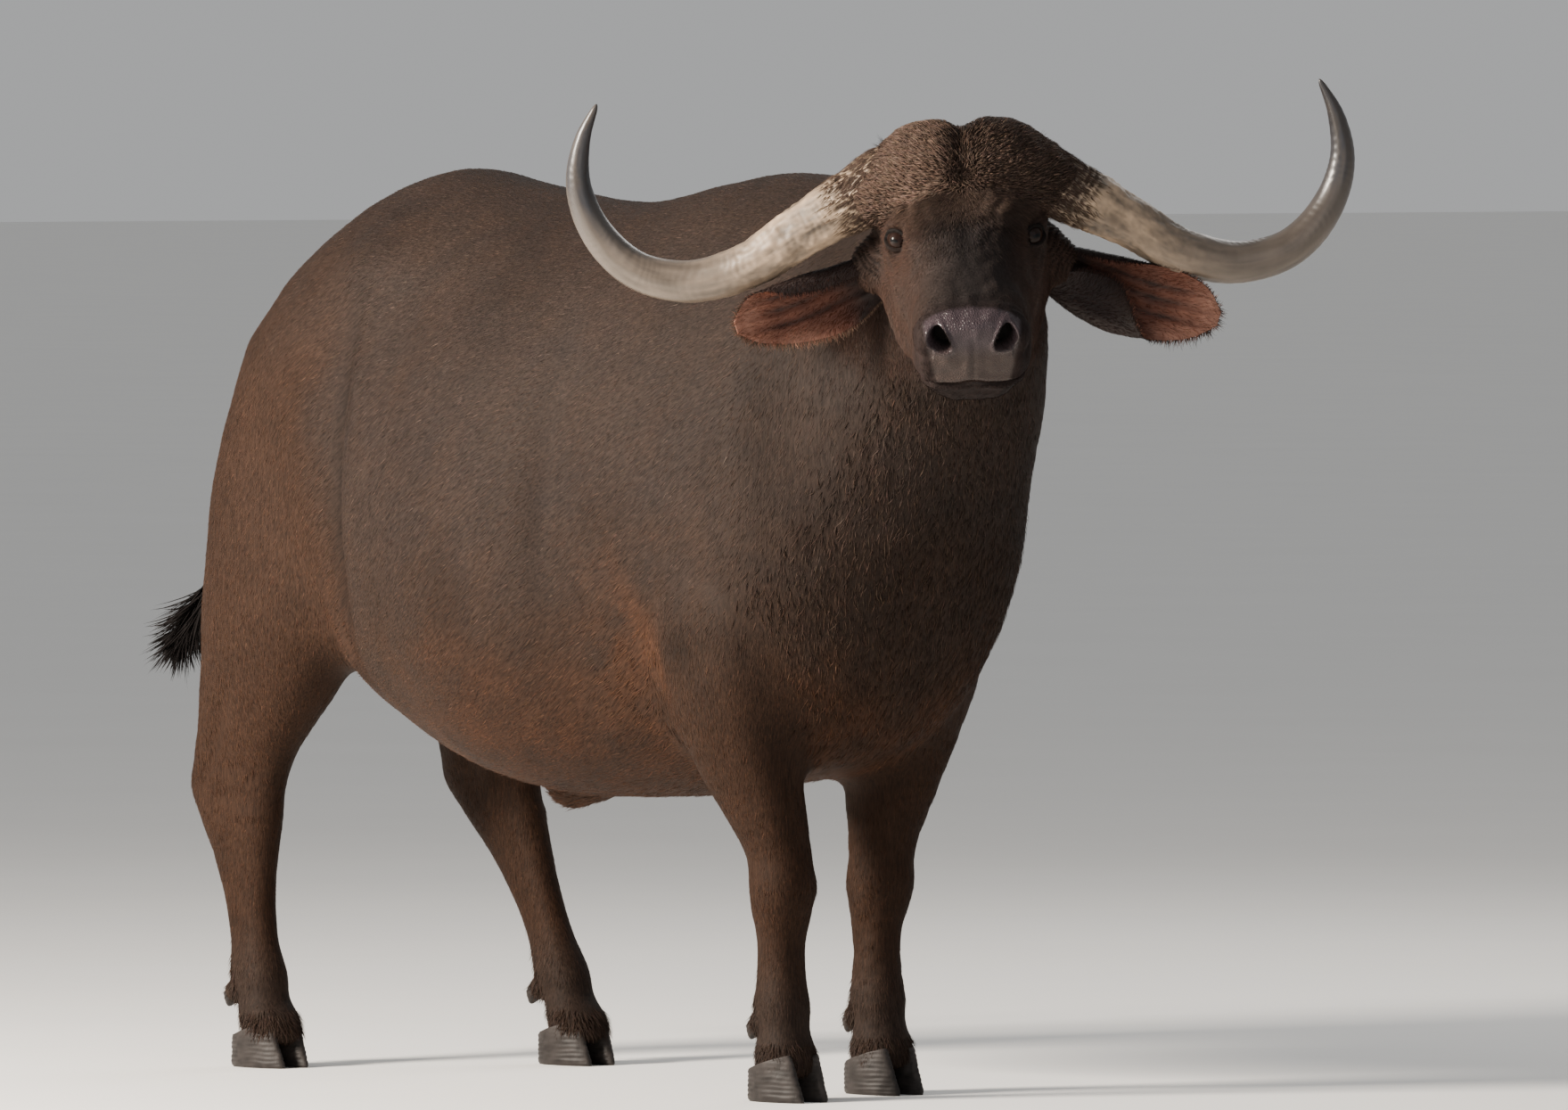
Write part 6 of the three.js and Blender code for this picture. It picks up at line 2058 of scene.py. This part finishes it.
@dataclass(frozen=True)
class TailTuft:
    """The tail's tuft: dark strands that splay from its end."""

    count: int = 760
    rings: int = 4
    wide: tuple[float, float] = (2.4, 5.2)
    splay: float = 0.42

    def build(self, finish: bpy.types.Material) -> None:
        """Strands root + along s L + fan s^1.4 L, with roots on the tube and tips that gather in spikes."""
        rng = np.random.default_rng(1950)
        n = self.count
        share, angle = rng.uniform(0, 0.62, n), rng.uniform(0, 2 * np.pi, n)
        depth = rng.uniform(0.1, 0.9, n)
        rows = TUFT.at(share)
        along, front, upright = TUFT.axes(share)
        radial = front * np.cos(angle)[:, None] + upright * np.sin(angle)[:, None]
        root = rows[:, :3] + radial * (rows[:, 3] * depth)[:, None]
        spikes = rng.normal(0, 1, (46, 3))
        toward = spikes[rng.integers(0, len(spikes), n)]
        fan = unit(along) + self.splay * (radial * depth[:, None] * 0.8 + 0.55 * toward)
        fan = unit(fan + [-0.06, 0, -0.06])
        long = rng.uniform(70, 118, n) * (1 - 0.35 * share)
        t = np.linspace(0, 1, self.rings + 1)[None, :, None]
        bent = along[:, None] * t + (fan - along)[:, None] * t**1.4
        bent = bent + rng.normal(0, 0.06, (n, 1, 3)) * t**2
        ways = root[:, None] + bent * long[:, None, None]
        outs = unit(radial[:, None] - along[:, None] * 0.1) * np.ones((1, self.rings + 1, 1))
        wide = rng.uniform(*self.wide, n)
        tint = COAT_TAIL * np.exp(rng.normal(0.1, 0.3, n))[:, None]
        chart = np.stack([0.72 + 0.1 * angle / (2 * np.pi), 0.9 + 0.08 * share], 1)
        mesh = Tufts(ways, outs, wide, wide * 0.4, tint, chart).mesh("tail_tuft_strands")
        add_piece(mesh, finish, ("tail_tuft",))


# The scene.


def standing(x: Array, y: Array, z: Array, place: Array) -> Matrix:
    """The 4 by 4 matrix with these axes and place."""
    return Matrix([[*row] for row in np.stack([x, y, z, place], 1)] + [[0, 0, 0, 1]])


@dataclass(frozen=True)
class Stage:
    """Floor, lights and the camera at the photograph's viewing angle."""

    target: tuple[float, float, float] = (236.0, 0.0, 825.0)
    azimuth: float = 52.0
    elevation: float = 1.59
    distance: float = 28.0
    lens: float = 411.44
    # name, metres to the camera's right, back to it and up, size, watts, colour
    lamps: tuple = (
        ("key", (-5.0, 2.6, 2.0), 1.4, 1500.0, (1.0, 0.90, 0.78)),
        ("fill", (1.5, 5.0, 1.2), 4.0, 25.0, (0.86, 0.92, 1.0)),
        ("rim", (2.0, -4.0, 3.6), 3.0, 110.0, (1.0, 0.97, 0.93)),
    )
    sky: tuple[float, float, float, float] = (0.86, 0.87, 0.88, 1.0)
    sky_strength: float = 0.5
    floor_reach: float = 120000.0

    def directions(self) -> tuple[Array, Array]:
        """The camera's right and the way back to it from the animal."""
        a, e = math.radians(self.azimuth), math.radians(self.elevation)
        right = np.array([math.cos(a), math.sin(a), 0.0])
        back = np.array([math.sin(a) * math.cos(e), -math.cos(a) * math.cos(e), math.sin(e)])
        return right, back

    def build(self, floor_finish: bpy.types.Material) -> None:
        """Makes the camera, the lights and the floor."""
        right, back = self.directions()
        aim = Place.metres((right * self.target[0] + [0, 0, self.target[2]])[None])[0]
        camera = bpy.data.cameras.new("camera")
        camera.lens = self.lens
        camera.sensor_width = 36.0
        camera.clip_end = 500.0
        holder = placed("camera", camera)
        holder.matrix_world = standing(right, np.cross(back, right), back, aim + back * self.distance)
        bpy.context.scene.camera = holder
        for name, steps, size, watts, colour in self.lamps:
            self.light(name, np.array(steps) @ [right, back, [0, 0, 1]], aim, size, watts, colour)
        world = bpy.data.worlds.new("studio")
        bpy.context.scene.world = world
        world.use_nodes = True
        light = world.node_tree.nodes["Background"].inputs
        light["Color"].default_value, light["Strength"].default_value = self.sky, self.sky_strength
        corners = np.array([[-1, -1, 0], [1, -1, 0], [1, 1, 0], [-1, 1, 0]]) * self.floor_reach
        floor = placed("floor", Surface.of(corners, np.array([[0, 1, 2, 3]])).mesh("floor", False))
        floor.data.materials.append(floor_finish)

    @staticmethod
    def light(name: str, offset: Array, aim: Array, size: float, power_w: float, colour: tuple) -> None:
        """A square soft light that faces the animal from an offset in metres."""
        lamp = bpy.data.lights.new(name, "AREA")
        lamp.size = size
        lamp.energy = power_w
        lamp.color = colour
        z = unit(offset)
        x = unit(np.cross([0, 0, 1.0], z))
        placed(name, lamp).matrix_world = standing(x, np.cross(z, x), z, aim + offset)


# Finishes.


@dataclass(frozen=True)
class Graph:
    """Places nodes in a tree and links them."""

    tree: bpy.types.NodeTree

    def add(self, kind: str, inputs: dict | None = None, **settings: object) -> bpy.types.Node:
        """A node with its settings, and its inputs set to values or linked to sockets.

        Args:
            kind: The node's type, without "ShaderNode".
            inputs: Values or output sockets by the input's name or number.
            settings: Properties of the node.

        Returns:
            The node.
        """
        node = self.tree.nodes.new("ShaderNode" + kind)
        for name, value in settings.items():
            setattr(node, name, value)
        for name, value in (inputs or {}).items():
            if isinstance(value, bpy.types.NodeSocket):
                self.tree.links.new(value, node.inputs[name])
            else:
                node.inputs[name].default_value = value
        return node

    def maths(self, operation: str, a: object, b: object = 0.0, held: bool = False) -> bpy.types.NodeSocket:
        """One Math node's value."""
        return self.add("Math", {0: a, 1: b}, operation=operation, use_clamp=held).outputs[0]

    def span(
        self, value: object, low: float, high: float, to_low: float, to_high: float
    ) -> bpy.types.NodeSocket:
        """A value carried from one range to another and held there."""
        inputs = {"Value": value, "From Min": low, "From Max": high, "To Min": to_low, "To Max": to_high}
        return self.add("MapRange", inputs).outputs["Result"]

    def noise(self, place: object, scale: float, detail: float = 3.0) -> bpy.types.NodeSocket:
        """Noise of the given scale, in cells a metre."""
        inputs = {"Vector": place, "Scale": scale, "Detail": detail, "Roughness": 0.6}
        return self.add("TexNoise", inputs).outputs["Fac"]

    def read(self, name: str, output: str = "Fac") -> bpy.types.NodeSocket:
        """A value stored on the mesh."""
        return self.add("Attribute", attribute_name=name).outputs[output]


class Effect(Enum):
    """The effects that several finishes share, as node groups."""

    MOTTLE = "mottle"
    GRAIN = "hair grain"
    PEBBLE = "pebbles"


def effect_group(effect: Effect) -> bpy.types.NodeTree:
    """The node group of an effect, made at its first use.

    Mottle gives a colour made lighter and darker by two noises. Grain gives the height and the streaks of
    short hair: noise drawn out along an axis that leans from upright by the tilt, in the upright plane along
    the body; the streaks follow the height and stand partly for painted light and shade. Pebbles gives the
    height of small domes, one a cell, with grooves between them.

    Args:
        effect: Which one.

    Returns:
        The group.
    """
    if effect.value in bpy.data.node_groups:
        return bpy.data.node_groups[effect.value]
    group = bpy.data.node_groups.new(effect.value, "ShaderNodeTree")
    make = group.interface.new_socket
    graph = Graph(group)
    make(name="Scale", in_out="INPUT", socket_type="NodeSocketFloat")
    make(name="Amount", in_out="INPUT", socket_type="NodeSocketFloat")
    if effect is Effect.MOTTLE:
        make(name="Color", in_out="INPUT", socket_type="NodeSocketColor")
        make(name="Color", in_out="OUTPUT", socket_type="NodeSocketColor")
    else:
        make(name="Height", in_out="OUTPUT", socket_type="NodeSocketFloat")
    if effect is Effect.GRAIN:
        make(name="Tilt", in_out="INPUT", socket_type="NodeSocketFloat")
        make(name="Streaks", in_out="OUTPUT", socket_type="NodeSocketFloat")
    given = group.nodes.new("NodeGroupInput").outputs
    result = group.nodes.new("NodeGroupOutput").inputs
    place = graph.add("TexCoord").outputs["Object"]
    if effect is Effect.MOTTLE:
        broad = graph.noise(place, given["Scale"], 4.0)
        fine = graph.noise(place, graph.maths("MULTIPLY", given["Scale"], 9.0), 2.0)
        both = graph.maths("ADD", graph.maths("MULTIPLY", broad, 0.7), graph.maths("MULTIPLY", fine, 0.3))
        off = graph.maths("MULTIPLY", graph.maths("SUBTRACT", both, 0.5), given["Amount"])
        lit = graph.maths("ADD", off, 1.0)
        scaled = graph.add("VectorMath", {0: given["Color"], "Scale": lit}, operation="SCALE")
        group.links.new(scaled.outputs["Vector"], result["Color"])
        return group
    if effect is Effect.GRAIN:
        turn_by = graph.add("CombineXYZ", {"Y": given["Tilt"]}).outputs[0]
        drawn = {"Vector": place, "Rotation": turn_by, "Scale": (1, 1, 8)}
        turned = graph.add("Mapping", drawn, vector_type="TEXTURE")
        high = graph.noise(turned.outputs["Vector"], given["Scale"], 3.0)
        group.links.new(graph.span(high, 0.3, 0.7, 0.0, 1.0), result["Streaks"])
    else:
        inputs = {"Vector": place, "Scale": given["Scale"]}
        cells = graph.add("TexVoronoi", inputs, feature="DISTANCE_TO_EDGE")
        high = graph.span(cells.outputs["Distance"], 0.0, 0.28, 0.0, 1.0)
    group.links.new(graph.maths("MULTIPLY", high, given["Amount"]), result["Height"])
    return group


@dataclass(frozen=True)
class Finish:
    """What every finish shares: a named material on the mesh's own tint."""

    name: str
    rough: float = 0.6
    mottle: tuple[float, float] = (30.0, 0.3)
    bump: tuple[Effect, float, float] | None = None
    shine: float = 0.5

    def start(self) -> tuple[bpy.types.Material, Graph, bpy.types.Node]:
        """The material with its tint mottled and its bump laid on."""
        made = bpy.data.materials.new(self.name)
        made.use_nodes = True
        graph = Graph(made.node_tree)
        shader = made.node_tree.nodes["Principled BSDF"]
        shader.inputs["Roughness"].default_value = self.rough
        shader.inputs["Specular IOR Level"].default_value = self.shine
        tint = graph.read("tint", "Color")
        mottled = graph.add("Group", node_tree=effect_group(Effect.MOTTLE))
        mottled.inputs["Scale"].default_value, mottled.inputs["Amount"].default_value = self.mottle
        made.node_tree.links.new(tint, mottled.inputs["Color"])
        made.node_tree.links.new(mottled.outputs["Color"], shader.inputs["Base Color"])
        if self.bump:
            self.raise_on(graph, shader, self.height(graph, *self.bump))
        return made, graph, shader

    @staticmethod
    def height(graph: Graph, effect: Effect, scale: float, amount: float) -> bpy.types.NodeSocket:
        """The height that an effect gives."""
        node = graph.add("Group", node_tree=effect_group(effect))
        node.inputs["Scale"].default_value = scale
        node.inputs["Amount"].default_value = amount
        return node.outputs["Height"]

    @staticmethod
    def raise_on(graph: Graph, shader: bpy.types.Node, height: bpy.types.NodeSocket) -> None:
        """Feeds a height in metres to the shader's normal."""
        bump = graph.add("Bump", {"Height": height, "Strength": 1.0, "Distance": 1.0})
        graph.tree.links.new(bump.outputs["Normal"], shader.inputs["Normal"])

    def make(self) -> bpy.types.Material:
        """The finished material."""
        return self.start()[0]


@dataclass(frozen=True)
class HideFinish(Finish):
    """Bare hide under the coat, and the wet pebbled nose."""

    def make(self) -> bpy.types.Material:
        """Roughness, coat and bump go over from hide to nose by the stored wetness."""
        made, graph, shader = self.start()
        wet = graph.read("wet")
        drops = graph.noise(graph.add("TexCoord").outputs["Object"], 120.0, 2.0)
        gloss = graph.span(drops, 0.35, 0.65, 0.42, 0.24)
        gap = graph.maths("MULTIPLY", graph.maths("SUBTRACT", self.rough, gloss), wet)
        graph.tree.links.new(graph.maths("SUBTRACT", self.rough, gap), shader.inputs["Roughness"])
        graph.tree.links.new(graph.maths("MULTIPLY", wet, 0.32), shader.inputs["Coat Weight"])
        shader.inputs["Coat Roughness"].default_value = 0.12
        dry = graph.maths("SUBTRACT", 1.0, wet)
        steep = graph.read("steep")
        slant = graph.maths("SUBTRACT", 1.0, steep)
        high, streaks = [], []
        for tilt, share in ((math.radians(53), slant), (0.0, steep)):
            inputs = {"Scale": 340.0, "Amount": 0.0008, "Tilt": tilt}
            hair = graph.add("Group", inputs, node_tree=effect_group(Effect.GRAIN))
            high.append(graph.maths("MULTIPLY", hair.outputs["Height"], share))
            streaks.append(graph.maths("MULTIPLY", hair.outputs["Streaks"], share))
        hair = graph.maths("ADD", *high)
        pebbles = self.height(graph, Effect.PEBBLE, 290.0, 0.0007)
        both = graph.maths("ADD", graph.maths("MULTIPLY", hair, dry), graph.maths("MULTIPLY", pebbles, wet))
        self.raise_on(graph, shader, both)
        base = shader.inputs["Base Color"]
        # lighter on the grain's raised streaks and darker between: partly the hair's tone, partly painted
        # light and shade
        lit = graph.span(graph.maths("MULTIPLY", graph.maths("ADD", *streaks), dry), 0.0, 1.0, 0.55, 1.6)
        shown = graph.maths("ADD", graph.maths("MULTIPLY", lit, dry), wet)
        scaled = graph.add("VectorMath", {0: base.links[0].from_socket, "Scale": shown}, operation="SCALE")
        graph.tree.links.new(scaled.outputs["Vector"], base)
        return made


@dataclass(frozen=True)
class HornFinish(Finish):
    """Horn: rough and dull where it is old, glossy beyond."""

    def make(self) -> bpy.types.Material:
        """Roughness follows the stored age."""
        made, graph, shader = self.start()
        old = graph.read("old")
        grit = graph.noise(graph.add("TexCoord").outputs["Object"], 120.0, 3.0)
        dull = graph.maths("ADD", graph.maths("MULTIPLY", old, 0.24), graph.maths("MULTIPLY", grit, 0.14))
        graph.tree.links.new(graph.maths("ADD", dull, self.rough - 0.07), shader.inputs["Roughness"])
        return made


@dataclass(frozen=True)
class EyeFinish(Finish):
    """A wet eye: a clear coat over the stored colours."""

    def make(self) -> bpy.types.Material:
        """The coat's values stand on the shader's own sockets."""
        made, _, shader = self.start()
        shader.inputs["Coat Weight"].default_value = 0.45
        shader.inputs["Coat IOR"].default_value = 1.33
        shader.inputs["Coat Roughness"].default_value = 0.03
        return made


@dataclass(frozen=True)
class FloorFinish:
    """A pale floor, faintly uneven."""

    name: str = "pale floor"

    def make(self) -> bpy.types.Material:
        """Two near tones by noise."""
        made = bpy.data.materials.new(self.name)
        made.use_nodes = True
        graph = Graph(made.node_tree)
        shader = made.node_tree.nodes["Principled BSDF"]
        shader.inputs["Roughness"].default_value = 0.85
        cloud = graph.noise(graph.add("TexCoord").outputs["Object"], 1.3, 4.0)
        inputs = {"Factor": cloud, 6: (0.78, 0.77, 0.75, 1), 7: (0.83, 0.82, 0.8, 1)}
        tones = graph.add("Mix", inputs, data_type="RGBA")
        made.node_tree.links.new(tones.outputs[2], shader.inputs["Base Color"])
        return made


def main() -> None:
    """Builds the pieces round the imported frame."""
    logging.basicConfig(level=logging.INFO, format="%(message)s")
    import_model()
    Place.find()
    Stage().build(FloorFinish().make())
    skin = Skin()
    skin.build()
    flesh = ["torso", "neck", "head", "sheath", "tail"] + ["leg_" + name for name in LEG_NAMES]
    hide = skin.surface.mesh("skin")
    regions = Regions(skin.surface.points)
    wet = regions.wet()
    nose = blend(NOSE_LOW, NOSE_WET, ease((regions.face[:, 2] + 45) / 40))
    # the hide takes the coat's colours darkened by SKIN_SHADE: painted shade between the tufts
    put_values(hide, "tint", blend(regions.colours() * SKIN_SHADE, nose, wet))
    put_values(hide, "wet", wet)
    put_values(hide, "steep", ease((np.abs(regions.lie()[:, 2]) - 0.62) / 0.28))
    add_piece(hide, HideFinish("hide", 0.7, shine=0.08).make(), tuple(flesh))
    log.info("skin: %d triangles", int((skin.surface.totals() - 2).sum()))
    coat = Coat(skin.surface, Finish("coat", 0.6, (14.0, 0.25), shine=0.05).make())
    coat.cover()
    coat.ground.free()
    TailTuft().build(coat.finish)
    horn = HornFinish("horn", 0.34, (40.0, 0.3)).make()
    eye = EyeFinish("eye", 0.5, (300.0, 0.3), shine=0.05).make()
    hoof = Finish("hoof", 0.5, (60.0, 0.5), (Effect.GRAIN, 500.0, 0.0003), 0.15).make()
    ear = Finish("ear", 0.6, (60.0, 0.4), (Effect.GRAIN, 900.0, 0.0006), 0.25).make()
    for name in SIDES:
        Horns().build(name, horn)
        Horns().hair(name, coat)
        Eyes().build(name, eye)
    for leaf in EARS:
        leaf.build(ear)
        leaf.hair(coat)
    for leg in LEGS:
        Hooves().build(leg, hoof)


if __name__ == "__main__":
    main()
